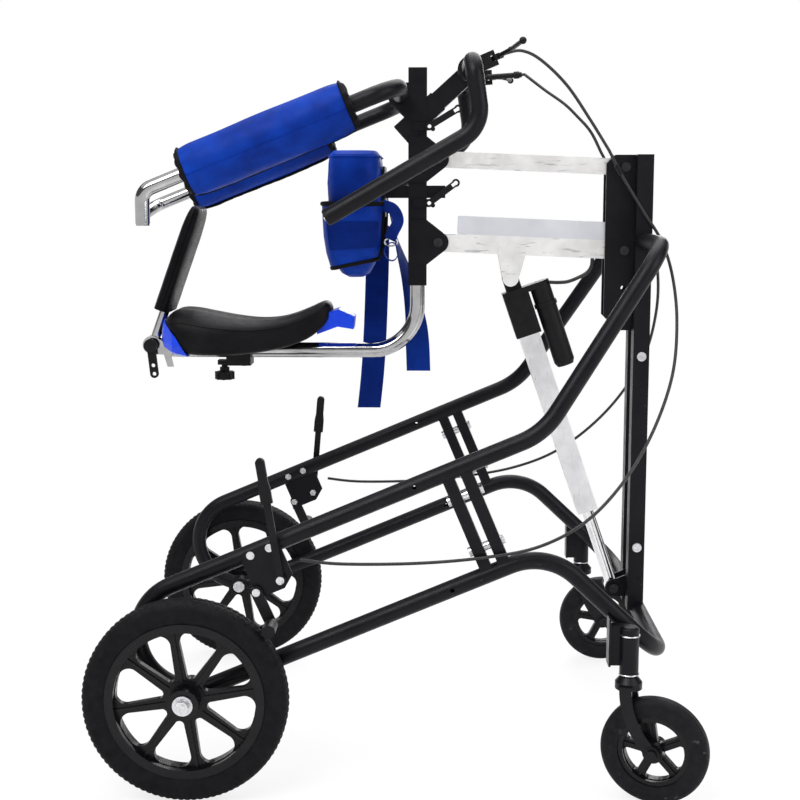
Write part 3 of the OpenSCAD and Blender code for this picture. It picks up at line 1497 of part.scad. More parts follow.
// Hanging webbing: centre lines from the top, as shares of the pieces beside them and of its length
belt_side = chest_w / 2 * chest_share(chest_width_shares, belt_z + belt_h / 8) + belt_t
    + 3 * soft + strap_t / 2;
front_shares = [[0.352, 0, 0], [0.352, 0, 0.147], [0.33, 0.1, 0.383], [0.295, 0.275, 0.626], [0.25, 0.375, 0.818],
    [0.182, 0.425, 1]];
front_strap = [for (p = front_shares)
    [chest_x + chest_t * p[0], belt_side - strap_w * p[1], belt_z + belt_h / 8 - front_strap_len * p[2]]];
plate_face = chest_x + chest_t / 2 + plate_t + 2 * soft + strap_t / 2;
rear_shares = [[0, 1.07, 0], [0.05, 1.13, 0.113], [0.338, 1.2, 0.307], [0.689, 1.2, 0.5], [0.922, 1.07, 0.696],
    [1, 0.93, 0.841], [1.04, 0.93, 1]];
rear_strap = [for (p = rear_shares)
    [plate_face + (ux - plate_face) * p[0], upright_w * p[1],
        chest_bar_z + 0.6 * chest_bar_w - rear_strap_len * p[2]]];

module strap(route, top_turn) {
    path = curve(route, 3);
    last = len(path) - 1;
    skin([for (i = [0:last]) let (
        a = top_turn * min(1, max(0, 1.5 - 1.67 * i / last)),
        w = strap_w / 2 * [cos(a), sin(a), 0],
        t = strap_t / 2 * [-sin(a), cos(a), 0])
        [path[i] - w - t, path[i] + w - t, path[i] + w + t, path[i] - w + t]]);
}

module chest_straps() {
    color("#0d2a8c") stand() {
        strap(front_strap, 0);
        strap(rear_strap, 90);
    }
}

// Cables

// Each cable arches from its lever to the mast: shares of the way, and of the drop that it stands above it
function cable_start(tilt, exit) = [bar_x + (exit + soft) * cos(tilt), lever_clamp_w / 3 - lever_y,
    bar_z + (exit + soft) * sin(tilt)];
cable_mast = [post_x - cable_back, -post_out - cable_side, mast_top + cable_rise];
right_arch_shares = [[0.17, 0.215], [0.345, 0.3], [0.59, 0.284], [0.813, 0.146]];
left_arch_shares = [[0.296, 0.092], [0.533, 0.155], [0.699, 0.157], [0.869, 0.129]];
function hand_route(tilt, exit, arch) = let (a = cable_start(tilt, exit), b = cable_start(tilt, exit + barrel_d / 2))
    concat([a], curve(concat([b], [for (p = arch) a + p[0] * (cable_mast - a)
        + [0, 0, p[1] * (a[2] - cable_mast[2])]], [cable_mast]), 3));
// From the mast down to the parking brake, as shares of wheelbase, rail distance and tube height
frame_route_shares = [
    [1.021, -0.172, 1.123], [1.073, -0.176, 1.055], [1.116, -0.193, 1], [1.14, -0.248, 0.933],
    [1.146, -0.345, 0.847], [1.128, -0.483, 0.748], [1.073, -0.655, 0.65], [0.996, -0.828, 0.567],
    [0.904, -0.966, 0.503], [0.797, -1.048, 0.464], [0.674, -1.059, 0.444], [0.521, -1.048, 0.432],
    [0.352, -1.041, 0.429], [0.257, -1.041, 0.437]
];
frame_route = concat([cable_mast - [0, 0, over]],
    [for (p = frame_route_shares) [p[0] * wheelbase, p[1] * rail_half, p[2] * top_z]]);

module hand_cables() {
    color("#0e0e10") stand() {
        cord(hand_route(right_lever_tilt, right_exit, right_arch_shares), cable_d, 8);
        left_side() cord(hand_route(left_lever_tilt, left_exit, left_arch_shares), cable_d, 8);
    }
}

module brake_cables() {
    color("#0e0e10") stand() both_sides() cord(curve(frame_route, 2), cable_d, 8);
}

// Lead from the actuator's head up to the lower arm, in shares of the top pivot's drop
lead_shares = [[1.41, -0.22, -0.13], [1.75, -0.22, -0.14], [2.11, -0.22, -0.09], [2.63, -0.22, 0.15],
    [2.85, -0.22, 0.4], [2.89, -0.22, 0.7]];

module actuator_lead() {
    color("#0e0e10") stand() cord(curve([for (p = lead_shares) act_top + act_drop * p], 3),
        cable_d * 1.2, 8);
}

right_rear_loop();
left_rear_loop();
upper_front_tubes();
lower_front_tube();
joint_bars();
mast();
lift_pins();
caster_housings();
rear_axles();
brake_brackets();
frame_bolts();
brake_cables();
right_wheel();
right_tyre();
left_wheel();
left_tyre();
right_caster_fork();
right_caster_wheel();
right_caster_tyre();
left_caster_fork();
left_caster_wheel();
left_caster_tyre();
right_brake_lever();
left_brake_lever();
right_brake_shoe();
left_brake_shoe();
upper_arm();
lower_arm();
cable_tray();
actuator_head();
actuator_barrel();
actuator_motor();
actuator_lead();
actuator_rod();
upright();
carriage_pins();
seat_tube();
armrest_tube();
handlebar();
lever_bodies();
hand_cables();
right_hand_lever();
left_hand_lever();
upper_cam_lever();
lower_cam_lever();
right_arm_extension();
right_arm_pad();
left_arm_extension();
left_arm_pad();
chest_bar();
chest_pad();
chest_belt();
chest_straps();
saddle();
saddle_trim();
seat_clamp();
seat_knob();
back_post();
back_pad();
back_lever();
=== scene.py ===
import math

import bpy
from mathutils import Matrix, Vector, noise


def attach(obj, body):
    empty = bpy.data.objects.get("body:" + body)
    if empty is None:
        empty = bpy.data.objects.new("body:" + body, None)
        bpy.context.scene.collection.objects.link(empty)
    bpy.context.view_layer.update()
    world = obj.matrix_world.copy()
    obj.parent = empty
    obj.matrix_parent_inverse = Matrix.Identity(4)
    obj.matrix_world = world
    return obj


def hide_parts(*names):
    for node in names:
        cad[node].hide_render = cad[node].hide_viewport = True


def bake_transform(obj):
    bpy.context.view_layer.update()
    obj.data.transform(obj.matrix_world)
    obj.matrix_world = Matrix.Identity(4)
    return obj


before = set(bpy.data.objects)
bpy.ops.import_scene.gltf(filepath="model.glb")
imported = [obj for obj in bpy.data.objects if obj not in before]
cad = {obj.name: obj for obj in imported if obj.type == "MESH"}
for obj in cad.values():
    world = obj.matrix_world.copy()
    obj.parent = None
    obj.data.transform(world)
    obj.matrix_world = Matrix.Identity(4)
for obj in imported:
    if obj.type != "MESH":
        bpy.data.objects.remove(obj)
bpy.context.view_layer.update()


# Frame: bent steel tubes and plates, welded together and powder coated satin black.
# The coat has a fine orange peel and a few pale rub marks from use.

def add(tree, kind, values=None, **settings):
    """A new shader node with its settings; values are numbers, or the sockets that feed it."""
    made = tree.nodes.new(kind)
    for key, value in settings.items():
        setattr(made, key, value)
    for key, value in (values or {}).items():
        if isinstance(value, bpy.types.NodeSocket):
            tree.links.new(value, made.inputs[key])
        else:
            made.inputs[key].default_value = value
    return made


def calc(tree, operation, *values):
    """The outcome of one sum on numbers or sockets."""
    return add(tree, "ShaderNodeMath", dict(enumerate(values)), operation=operation).outputs["Value"]


def remap(tree, value, low, high, start=0.0, stop=1.0):
    """A value brought from the range start to stop into the range low to high."""
    limits = {"Value": value, "From Min": start, "From Max": stop, "To Min": low, "To Max": high}
    return add(tree, "ShaderNodeMapRange", limits).outputs["Result"]


def effect(name, inputs, output):
    """A node group that materials share, with named numbers in and one named value out."""
    tree = bpy.data.node_groups.new(name, "ShaderNodeTree")
    for label, value in inputs.items():
        socket = tree.interface.new_socket(label, in_out="INPUT", socket_type="NodeSocketFloat")
        socket.default_value = value
    tree.interface.new_socket(output, in_out="OUTPUT", socket_type="NodeSocketFloat")
    return tree, tree.nodes.new("NodeGroupInput"), tree.nodes.new("NodeGroupOutput")


speckle, given, out = effect("speckle", {"Scale": 40.0, "Low": 0.0, "High": 1.0}, "Value")
place = add(speckle, "ShaderNodeTexCoord").outputs["Object"]
cloud = add(speckle, "ShaderNodeTexNoise",
            {"Vector": place, "Scale": given.outputs["Scale"], "Detail": 4.0, "Roughness": 0.6})
spots = remap(speckle, cloud.outputs["Fac"], given.outputs["Low"], given.outputs["High"], 0.3, 0.7)
speckle.links.new(spots, out.inputs["Value"])

scratches, given, out = effect(
    "scratches", {"Along X": 12.0, "Along Y": 300.0, "Along Z": 300.0, "Least": 0.62}, "Mask")
place = add(scratches, "ShaderNodeTexCoord").outputs["Object"]
along = add(scratches, "ShaderNodeCombineXYZ", {axis: given.outputs[f"Along {axis}"] for axis in "XYZ"})
drawn = add(scratches, "ShaderNodeVectorMath", {0: place, 1: along.outputs["Vector"]}, operation="MULTIPLY")
streaks = add(scratches, "ShaderNodeTexNoise",
              {"Vector": drawn.outputs["Vector"], "Scale": 1.0, "Detail": 5.0, "Distortion": 0.4})
edge = calc(scratches, "ADD", given.outputs["Least"], 0.07)
mask = remap(scratches, streaks.outputs["Fac"], 0.0, 1.0, given.outputs["Least"], edge)
scratches.links.new(mask, out.inputs["Mask"])


def use(tree, what, values):
    """Places a shared effect in a material with its own values, and gives what it puts out."""
    return add(tree, "ShaderNodeGroup", values, node_tree=what).outputs[0]


def surface(name, dark, light, rough, mottle, grain, relief, depth=0.0003, metal=0.0, shine=0.5):
    """A material whose colour wanders between two tones, with varied roughness and a fine relief."""
    mat = bpy.data.materials.new(name)
    mat.use_nodes = True
    tree = mat.node_tree
    shader = tree.nodes["Principled BSDF"]
    tone = add(tree, "ShaderNodeMix",
               {"Factor": use(tree, speckle, {"Scale": mottle}), 6: (*dark, 1), 7: (*light, 1)},
               name="tone", data_type="RGBA")
    tree.links.new(tone.outputs[2], shader.inputs["Base Color"])
    haze = use(tree, speckle, {"Scale": mottle * 3, "Low": rough[0], "High": rough[1]})
    tree.links.new(haze, shader.inputs["Roughness"])
    bump = add(tree, "ShaderNodeBump",
               {"Height": use(tree, speckle, {"Scale": grain}), "Strength": relief, "Distance": depth},
               name="relief")
    tree.links.new(bump.outputs["Normal"], shader.inputs["Normal"])
    shader.inputs["Metallic"].default_value = metal
    shader.inputs["Specular IOR Level"].default_value = shine
    return mat


def wear(mat, colour, along, least, rough, amount):
    """Lays scuffs of another colour and roughness over a surface; along says how they run."""
    tree = mat.node_tree
    shader = tree.nodes["Principled BSDF"]
    mask = use(tree, scratches,
               {"Along X": along[0], "Along Y": along[1], "Along Z": along[2], "Least": least})
    part = calc(tree, "MULTIPLY", mask, amount)
    mixed = add(tree, "ShaderNodeMix",
                {"Factor": part, 6: tree.nodes["tone"].outputs[2], 7: (*colour, 1)}, data_type="RGBA")
    tree.links.new(mixed.outputs[2], shader.inputs["Base Color"])
    was = shader.inputs["Roughness"].links[0].from_socket
    rubbed = add(tree, "ShaderNodeMix", {"Factor": part, 2: was, 3: rough}, data_type="FLOAT")
    tree.links.new(rubbed.outputs[0], shader.inputs["Roughness"])
    return mat


def dress(mat, *names):
    """Gives CAD nodes their finish."""
    for name in names:
        cad[name].data.materials.clear()
        cad[name].data.materials.append(mat)


powder = wear(
    surface("powder coat", (0.0035, 0.0033, 0.0048), (0.0075, 0.0072, 0.0098), (0.27, 0.42),
            mottle=18, grain=2600, relief=0.22, shine=0.14),
    (0.16, 0.16, 0.17), along=(60.0, 260.0, 90.0), least=0.73, rough=0.5, amount=0.5)
dress(powder, "right_rear_loop", "left_rear_loop", "upper_front_tubes", "lower_front_tube", "joint_bars",
      "mast", "caster_housings", "brake_brackets")

# Fasteners: axle bolts and frame bolts of bright zinc plated steel, a little stained.
# The pins of the lift and of the carriage are plated black.

zinc = wear(
    surface("zinc plate", (0.52, 0.52, 0.54), (0.72, 0.72, 0.74), (0.22, 0.4),
            metal=1.0, mottle=120, grain=1800, relief=0.2),
    (0.2, 0.19, 0.18), along=(200.0, 200.0, 200.0), least=0.64, rough=0.6, amount=0.6)
dress(zinc, "rear_axles", "frame_bolts")
black_zinc = surface("black zinc", (0.014, 0.014, 0.016), (0.035, 0.035, 0.038), (0.3, 0.45),
                     metal=0.6, mottle=140, grain=1800, relief=0.2)
dress(black_zinc, "lift_pins", "carriage_pins")

# Caster housings: short steel tubes welded to the ends of the lower front tube.
# A bright wire ring holds the bearing at the cap and at the foot of each.

axle_to_middle = 310.5
sides = ((-1, "right"), (1, "left"))
housing_x, housing_y, cap_z, foot_z = 652.5, 320.0, 250.0, 191.4
housing_r, ring_wire_r = 0.0143, 0.0012


def at(x, y, z):
    """A place from millimetres: ahead of the rear axle, towards the walker's left, above the floor."""
    return Vector(((x - axle_to_middle) / 1000, y / 1000, z / 1000))


def piece(name, verts, faces, mat, slot, body=None, stands_for=(), crease=40):
    """A new mesh with its finish and the body that carries it; the slot is not used."""
    mesh = bpy.data.meshes.new(name)
    mesh.from_pydata([tuple(v) for v in verts], [], faces)
    mesh.polygons.foreach_set("use_smooth", [True] * len(mesh.polygons))
    mesh.set_sharp_from_angle(angle=math.radians(crease))
    mesh.materials.append(mat)
    made = bpy.data.objects.new(name, mesh)
    bpy.context.scene.collection.objects.link(made)
    if body:
        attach(made, body)
    if stands_for:
        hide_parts(*stands_for)
    return made


def loft(rings, ends=True, round_again=False):
    """Vertices and faces of a skin over rings of equal count."""
    count = len(rings[0])
    verts = [p for ring in rings for p in ring]
    faces = []
    last = len(rings) if round_again else len(rings) - 1
    for i in range(last):
        a, b = i * count, (i + 1) % len(rings) * count
        for j in range(count):
            k = (j + 1) % count
            faces.append((a + j, a + k, b + k, b + j))
    if ends and not round_again:
        faces.append(tuple(reversed(range(count))))
        faces.append(tuple(range((len(rings) - 1) * count, len(rings) * count)))
    return verts, faces


def full_turn(count):
    """Angles evenly spread round a circle."""
    return [2 * math.pi * k / count for k in range(count)]


def tube(line, radius, around, closed=False):
    """Vertices and faces of a round cord along a line; the radius may change along it."""
    count = len(line)
    rings = []
    normal = None
    for i, p in enumerate(line):
        before = line[i - 1] if closed or i else line[0]
        after = line[(i + 1) % count] if closed or i < count - 1 else line[-1]
        heading = (after - before).normalized()
        if normal is None:
            normal = heading.orthogonal().normalized()
        normal = (normal - heading * normal.dot(heading)).normalized()
        across = heading.cross(normal)
        r = radius[i] if isinstance(radius, list) else radius
        rings.append([p + (normal * math.cos(a) + across * math.sin(a)) * r for a in full_turn(around)])
    return loft(rings, ends=not closed, round_again=closed)


def oval(middle, across, up, count):
    """A closed line round a middle, with its two half axes."""
    return [middle + across * math.cos(a) + up * math.sin(a) for a in full_turn(count)]


for side, label in sides:
    for end, height in (("cap", cap_z), ("foot", foot_z)):
        line = oval(at(housing_x, side * housing_y, height),
                    Vector((housing_r, 0, 0)), Vector((0, housing_r, 0)), 40)
        piece(f"{label}_housing_{end}_ring", *tube(line, ring_wire_r, 8, closed=True), zinc, "zinc", "frame")

# Parking brakes: pressed steel levers and swinging arms with a roller before each rear tyre.
# Their black paint is a little duller than the frame's coat.

brake_paint = surface("brake paint", (0.0035, 0.0033, 0.0042), (0.0085, 0.0082, 0.0098), (0.33, 0.5),
                      mottle=40, grain=1500, relief=0.25, shine=0.16)
dress(brake_paint, "right_brake_lever", "left_brake_lever", "right_brake_shoe", "left_brake_shoe")

# Rear wheels: moulded nylon with eight spokes, and black rubber tyres with a block tread.
# The tyres are made here with their tread, and fillets round the outer corners of the wheels' windows.

nylon = surface("moulded nylon", (0.0028, 0.0027, 0.0035), (0.0062, 0.006, 0.0075), (0.18, 0.34),
                mottle=35, grain=1200, relief=0.12, shine=0.2)
dress(nylon, "right_wheel", "left_wheel")
rubber = surface("tyre rubber", (0.0036, 0.0034, 0.0042), (0.0085, 0.0080, 0.0096), (0.5, 0.75),
                 mottle=60, grain=1500, relief=0.5, shine=0.1)
wheel_y, axle_z = 332.5, 152.5
tyre_in, tyre_out, tyre_half, tyre_round = 0.1181, 0.1525, 0.022, 0.014
middle_groove, block_groove = 0.0014, 0.0013
spokes, first_window = 8, 0.3
window_r, spoke_root, spoke_tip, cut_r = 0.10407, 0.00846, 0.00648, 0.00702
fillet_r, fillet_half, fillet_sunk, fillet_steps = 0.016, 0.0049, 0.0015, 12


def tread_depth(share, step):
    """How far the tread is cut in at a share of the half width, for a step round the wheel."""
    off_middle, shift = abs(share), int(share > 0)
    if off_middle < 0.10:
        return middle_groove
    if 0.46 <= off_middle < 0.54:
        return block_groove
    if off_middle < 0.46:
        gap = (step + shift) % 3 == 0
    else:
        gap = off_middle < 0.86 and (step + 1 + shift) % 3 == 0
    return block_groove if gap else 0.0


def treaded_tyre(side, label):
    """One rear tyre: a section with round shoulders, turned about the axle and cut by its tread."""
    middle = at(0, side * wheel_y, axle_z)
    flat = tyre_half - tyre_round
    quarter = [math.pi / 2 * k / 7 for k in range(8)]
    shoulder = [(tyre_out - tyre_round + tyre_round * math.sin(a), flat + tyre_round * math.cos(a))
                for a in quarter]
    foot = (tyre_in, tyre_half - tyre_round / 2)
    outline = [(foot[0], -foot[1])] + [(r, -y) for r, y in shoulder]
    outline += [(tyre_out, flat * k / 4) for k in range(-3, 4)] + shoulder[::-1] + [foot]
    rings = []
    for step, a in enumerate(full_turn(288)):
        ring = []
        for r, y in outline:
            on_tread = r > tyre_out - tyre_round * 0.62
            r -= tread_depth(y / tyre_half, step) if on_tread else 0.0
            ring.append(middle + Vector((r * math.cos(a), y, r * math.sin(a))))
        rings.append(ring)
    piece(f"{label}_tread", *loft(rings, round_again=True), rubber, "rubber_black", f"{label}_wheel",
          (f"{label}_tyre",), crease=28)


def reach(start, way, radius):
    """How far a line from start runs along a unit way until it meets a circle about the axle."""
    ahead = start.dot(way)
    return math.sqrt(ahead ** 2 - start.length_squared + radius ** 2) - ahead


def window_fillets(side, label):
    """The moulded fillets between spokes and rim in the outer corners of a rear wheel's windows."""
    middle = at(0, side * wheel_y, axle_z)
    half = math.pi / spokes
    inner = Vector(((spoke_root + cut_r) / math.sin(half), 0))
    open_to = half - math.asin((spoke_tip + cut_r) / (window_r - cut_r))
    corner = (window_r - cut_r) * Vector((math.cos(open_to), math.sin(open_to)))
    way = (corner - inner).normalized()
    to_spoke = Vector((-way.y, way.x))
    start = inner + (cut_r - fillet_r) * to_spoke
    centre = start + reach(start, way, window_r - fillet_r) * way
    first, last = math.atan2(to_spoke.y, to_spoke.x), math.atan2(centre.y, centre.x)
    verts, faces = [], []
    for window in range(spokes):
        turn = 2 * math.pi * (window + first_window) / spokes
        ahead = Vector((math.cos(turn), 0, -math.sin(turn)))
        aside = Vector((math.sin(turn), 0, math.cos(turn)))
        for flip in (1, -1):
            rings = []
            for k in range(fillet_steps + 1):
                angle = first + (last - first) * k / fillet_steps
                ray = Vector((math.cos(angle), math.sin(angle)))
                wall = min(reach(centre, ray, window_r), fillet_r / max(ray.dot(to_spoke), 0.01))
                near, far = centre + ray * fillet_r, centre + ray * (wall + fillet_sunk)
                ring = [middle + ahead * p.x + aside * (flip * p.y) + Vector((0, face * fillet_half, 0))
                        for p, face in ((near, 1), (far, 1), (far, -1), (near, -1))]
                rings.append(ring[::flip])
            more_verts, more_faces = loft(rings)
            faces += [tuple(n + len(verts) for n in face) for face in more_faces]
            verts += more_verts
    piece(f"{label}_wheel_fillets", verts, faces, nylon, "wheel_plastic", f"{label}_wheel", crease=30)


for side, label in sides:
    treaded_tyre(side, label)
    window_fillets(side, label)

# Casters: pressed forks painted black, small moulded wheels of the same nylon, and dark rubber tyres.
# The rubber is scuffed from the floor.

dress(nylon, "right_caster_wheel", "left_caster_wheel")
fork_paint = surface("fork paint", (0.0035, 0.0033, 0.0045), (0.0080, 0.0076, 0.0098), (0.24, 0.4),
                     mottle=30, grain=2000, relief=0.2, shine=0.18)
dress(fork_paint, "right_caster_fork", "left_caster_fork")
caster_rubber = wear(
    surface("caster rubber", (0.0050, 0.0048, 0.0060), (0.0110, 0.0106, 0.0126), (0.45, 0.7),
            mottle=60, grain=1500, relief=0.4, shine=0.12),
    (0.12, 0.12, 0.12), along=(90.0, 90.0, 90.0), least=0.66, rough=0.8, amount=0.4)
dress(caster_rubber, "right_caster_tyre", "left_caster_tyre")

# Lift: bare aluminium box tubes with a channel on the lower one, pinned between mast and upright.
# They are handled metal: streaks along the draw direction, dull scuffs and grey smears.

bare = wear(
    surface("bare aluminium", (0.74, 0.73, 0.725), (0.95, 0.94, 0.935), (0.30, 0.46),
            metal=1.0, mottle=22, grain=1400, relief=0.25),
    (0.26, 0.26, 0.27), along=(25.0, 180.0, 180.0), least=0.60, rough=0.6, amount=0.6)
dress(bare, "upper_arm", "lower_arm")
channel = wear(
    surface("channel", (0.64, 0.645, 0.69), (0.76, 0.765, 0.80), (0.34, 0.46),
            metal=1.0, mottle=10, grain=1400, relief=0.15),
    (0.75, 0.75, 0.78), along=(8.0, 240.0, 240.0), least=0.64, rough=0.3, amount=0.5)
dress(channel, "cable_tray")

# Actuator: a grooved aluminium barrel and a polished rod, with a black head and a motor beside it.
# The barrel is scuffed along its length; the head and the motor's shell are moulded plastic.

barrel = wear(
    surface("actuator barrel", (0.66, 0.65, 0.67), (0.86, 0.85, 0.865), (0.28, 0.42),
            metal=1.0, mottle=26, grain=1500, relief=0.2),
    (0.3, 0.3, 0.31), along=(180.0, 180.0, 25.0), least=0.63, rough=0.55, amount=0.5)
dress(barrel, "actuator_barrel")
polished = wear(
    surface("polished rod", (0.68, 0.68, 0.69), (0.82, 0.82, 0.83), (0.10, 0.2),
            metal=1.0, mottle=40, grain=2000, relief=0.08),
    (0.4, 0.4, 0.41), along=(260.0, 260.0, 14.0), least=0.66, rough=0.35, amount=0.5)
dress(polished, "actuator_rod")
shell = surface("black shell", (0.0032, 0.0031, 0.0038), (0.0080, 0.0078, 0.0090), (0.36, 0.52),
                mottle=60, grain=1600, relief=0.4, shine=0.16)
dress(shell, "actuator_head", "actuator_motor")

# Carriage: a black upright with the cross tube of the arm rests and the bar of the chest pad.
# The seat tube below it is bent steel in chrome plate, scratched where straps and shoes rub it.

dress(powder, "upright", "armrest_tube", "chest_bar")
chrome = wear(
    surface("chrome plate", (0.36, 0.355, 0.36), (0.48, 0.475, 0.48), (0.04, 0.13),
            metal=1.0, mottle=30, grain=700, relief=0.06),
    (0.34, 0.31, 0.28), along=(130.0, 90.0, 130.0), least=0.66, rough=0.45, amount=0.6)
dress(chrome, "seat_tube")
dress(shell, "upper_cam_lever", "lower_cam_lever")

# Handlebar: one bent tube on a sloping stem, coated like the frame, with moulded brake levers.
# Each grip ends in a plastic plug with a small screw in it.

dress(powder, "handlebar")
dress(shell, "lever_bodies", "right_hand_lever", "left_hand_lever")
grip_slope = math.radians(30)
grip_way = Vector((-math.cos(grip_slope), 0, -math.sin(grip_slope)))
grip_x, grip_y, grip_z, grip_r, screw_r = 209.8, 250.0, 856.3, 0.0127, 0.0034


def plug(name, end, way, radius, body):
    """A moulded plug in a tube's end, with its edge taken off."""
    line = [end + way * out for out in (0.0003, 0.0038, 0.0050)]
    piece(name, *tube(line, [radius, radius, radius * 0.8], 28), shell, "black_plastic", body)


for side, label in sides:
    grip_end = at(grip_x, side * grip_y, grip_z)
    plug(f"{label}_grip_plug", grip_end, grip_way, grip_r, "handlebar")
    line = [grip_end + grip_way * out for out in (0.0052, 0.0062, 0.0066)]
    head = tube(line, [screw_r, screw_r, screw_r - 0.0008], 18)
    piece(f"{label}_grip_screw", *head, zinc, "zinc", "handlebar")

# Arm rests: bent chrome tubes slide in the cross tube's arms; the left one's plugged end is rolled inwards.
# Foam is rolled round each arm in blue coated cloth, closed underneath by an overlapping flap.
# Black cloth gathers over the ends, and black piping finishes each rim and the flap's edge.

dress(chrome, "right_arm_extension", "left_arm_extension")
plug("left_arm_plug", at(-142.5, 176.1, 855.3), Vector((-0.2860, -0.9137, -0.2886)), 0.0109, "left_arm")
weave, given, out = effect("weave", {"Scale": 260.0}, "Height")
place = add(weave, "ShaderNodeTexCoord").outputs["Object"]
thread = {"Vector": place, "Scale": given.outputs["Scale"], "Distortion": 0.6, "Detail": 1.0}
bands = [add(weave, "ShaderNodeTexWave", thread, bands_direction=axis).outputs["Fac"] for axis in "XYZ"]
crossed = calc(weave, "MAXIMUM", calc(weave, "MAXIMUM", bands[0], bands[2]), bands[1])
weave.links.new(crossed, out.inputs["Height"])


def cloth(name, dark, light, rough, threads, relief):
    """A woven surface: threads, a soft sheen at the edges, and painted fold shade in random blotches between
    a shaded dark tone and a lit light tone.
    """
    mat = surface(name, dark, light, rough, mottle=14.0, grain=500.0, relief=0.1, shine=0.07)
    tree = mat.node_tree
    shader = tree.nodes["Principled BSDF"]
    bump = add(tree, "ShaderNodeBump",
               {"Height": use(tree, weave, {"Scale": threads}), "Strength": relief, "Distance": 0.0004,
                "Normal": tree.nodes["relief"].outputs["Normal"]})
    tree.links.new(bump.outputs["Normal"], shader.inputs["Normal"])
    shader.inputs["Sheen Weight"].default_value = 0.04
    shader.inputs["Sheen Roughness"].default_value = 0.4
    shader.inputs["Sheen Tint"].default_value = (*light, 1)
    return mat


# The two blues are the cloth's shaded and lit tones; their random mottle is painted shade standing in for
# folds.
blue_cloth = cloth("blue coated cloth", (0.0016, 0.0165, 0.165), (0.0030, 0.044, 0.38), (0.40, 0.58),
                   threads=260, relief=0.25)
black_cloth = cloth("black binding", (0.0030, 0.0028, 0.0036), (0.0070, 0.0066, 0.0080), (0.6, 0.8),
                    threads=320, relief=0.4)
arm_slope = math.radians(21.9)
arm_back = Vector((-math.cos(arm_slope), 0, -math.sin(arm_slope)))
arm_up = Vector((-math.sin(arm_slope), 0, math.cos(arm_slope)))
arm_x, arm_y, arm_z = 310.96, 220.0, 1046.0
pad_start, pad_long, pad_r, pad_steps, pad_count = 0.077, 0.261, 0.0385, 44, 64
flap_inset, flap_from, flap_wrap, flap_steps = 0.004, 1.75, 1.55, 16
pad_piping_r = 0.0024
gathers = ((1.0, 0.0), (0.93, 0.0035), (0.8, 0.005), (0.62, 0.0045), (0.46, 0.002), (0.36, -0.002))


def arm_pad(side, label, pushed_back, seed):
    """One rolled pad with its ends, flap and piping on an arm that is pushed back by some metres."""
    body = f"{label}_arm"
    corner = at(arm_x, side * arm_y, arm_z)
    outwards = Vector((0, side, 0))
    start = pad_start + pushed_back

    def around(t, angle, lift):
        """A point of the cover, t metres down the arm, at an angle from its top."""
        share = (t - start) / pad_long
        to_end = min(share, 1 - share)
        turned = Vector((share * 5 + seed, math.cos(angle) * 1.6, math.sin(angle) * 1.6))
        swell = 1 - 0.07 * math.exp(-(to_end / 0.05) ** 2) + 0.02 * math.sin(math.pi * share)
        press = 0.0022 * math.exp(-((angle - math.pi) / 0.7) ** 2)
        ripple = 0.0011 * noise.noise(turned)
        pucker = 0.0009 * math.exp(-(to_end / 0.09) ** 2) * math.sin(11 * angle + seed)
        fold = math.exp(-((angle - 2.25 + 0.35 * (share - 0.6)) / 0.10) ** 2)
        crease = 0.0016 * fold * math.exp(-((share - 0.66) / 0.2) ** 2)
        r = pad_r * swell - press + ripple + pucker - crease + lift
        return corner + arm_back * t + (arm_up * math.cos(angle) + outwards * math.sin(angle)) * r

    turns = full_turn(pad_count)
    rings = [[around(start + pad_long * i / pad_steps, a, 0) for a in turns] for i in range(pad_steps + 1)]
    cover = piece(f"{body}_pad_cover", *loft(rings, ends=False), blue_cloth, "blue_fabric", body,
                  (f"{body}_pad",))
    for end, t, way in (("front", start, -1), ("rear", start + pad_long, 1)):
        cap = []
        for share, puff in gathers:
            tuck = 0.0011 if share < 1 else 0.0
            cap.append([corner + arm_back * (t + way * (puff + tuck * math.sin(9 * a + seed * 3)))
                        + (around(t, a, 0) - corner - arm_back * t) * share for a in turns])
        piece(f"{body}_pad_{end}", *loft(cap, ends=False), black_cloth, "blue_fabric", body)
        rim = tube([around(t - way * 0.002, a, 0.0006) for a in turns], pad_piping_r, 8, closed=True)
        piece(f"{body}_pad_{end}_piping", *rim, black_cloth, "blue_fabric", body)
    flap_places = [start + flap_inset + (pad_long - 2 * flap_inset) * i / pad_steps
                   for i in range(pad_steps + 1)]
    flap_turns = [flap_from + flap_wrap * k / flap_steps for k in range(flap_steps + 1)]
    strips = []
    for t in flap_places:
        outer = [around(t, a, 0.0012 + 0.0016 * k / flap_steps) for k, a in enumerate(flap_turns)]
        inner = [around(t, a, 0.0002) for a in flap_turns]
        strips.append(outer + inner[::-1])
    piece(f"{body}_pad_flap", *loft(strips), blue_cloth, "blue_fabric", body)
    hem = [around(t, flap_turns[-1], 0.0020 + 0.0008 * noise.noise(Vector((i * 0.6, seed, 0))))
           for i, t in enumerate(flap_places)]
    piece(f"{body}_pad_hem", *tube(hem, pad_piping_r, 8), black_cloth, "blue_fabric", body)


arm_pad(-1, "right", 0.0, 1.7)
arm_pad(1, "left", 0.066, 6.3)

# Chest pad: a foam block in blue cloth that tapers to a point below, fixed to the bar behind it.
# Its cover is sewn together from a top and a side, with a seam all round.

chest_x, chest_top, chest_deep, chest_wide, chest_high = 238.96, 957.0, 88.0, 220.0, 200.0
chest_shares = ((0, 0.3, 0.4), (0.03, 0.52, 0.58), (0.1, 0.72, 0.74), (0.25, 0.87, 0.9), (0.5, 0.95, 0.97),
                (0.75, 1, 1), (0.9, 0.97, 0.97), (0.97, 0.92, 0.94), (1, 0.8, 0.86))
chest_levels = (0, 0.012, 0.03, 0.06, 0.1, 0.17, 0.25, 0.34, 0.42, 0.5, 0.58, 0.66, 0.75, 0.83, 0.9, 0.935,
                0.97, 0.99, 1.0)
cover_gap, corner_power = 0.6, 0.47
seam_at, seam_lift, seam_r = 0.955, 1.0, 0.0016


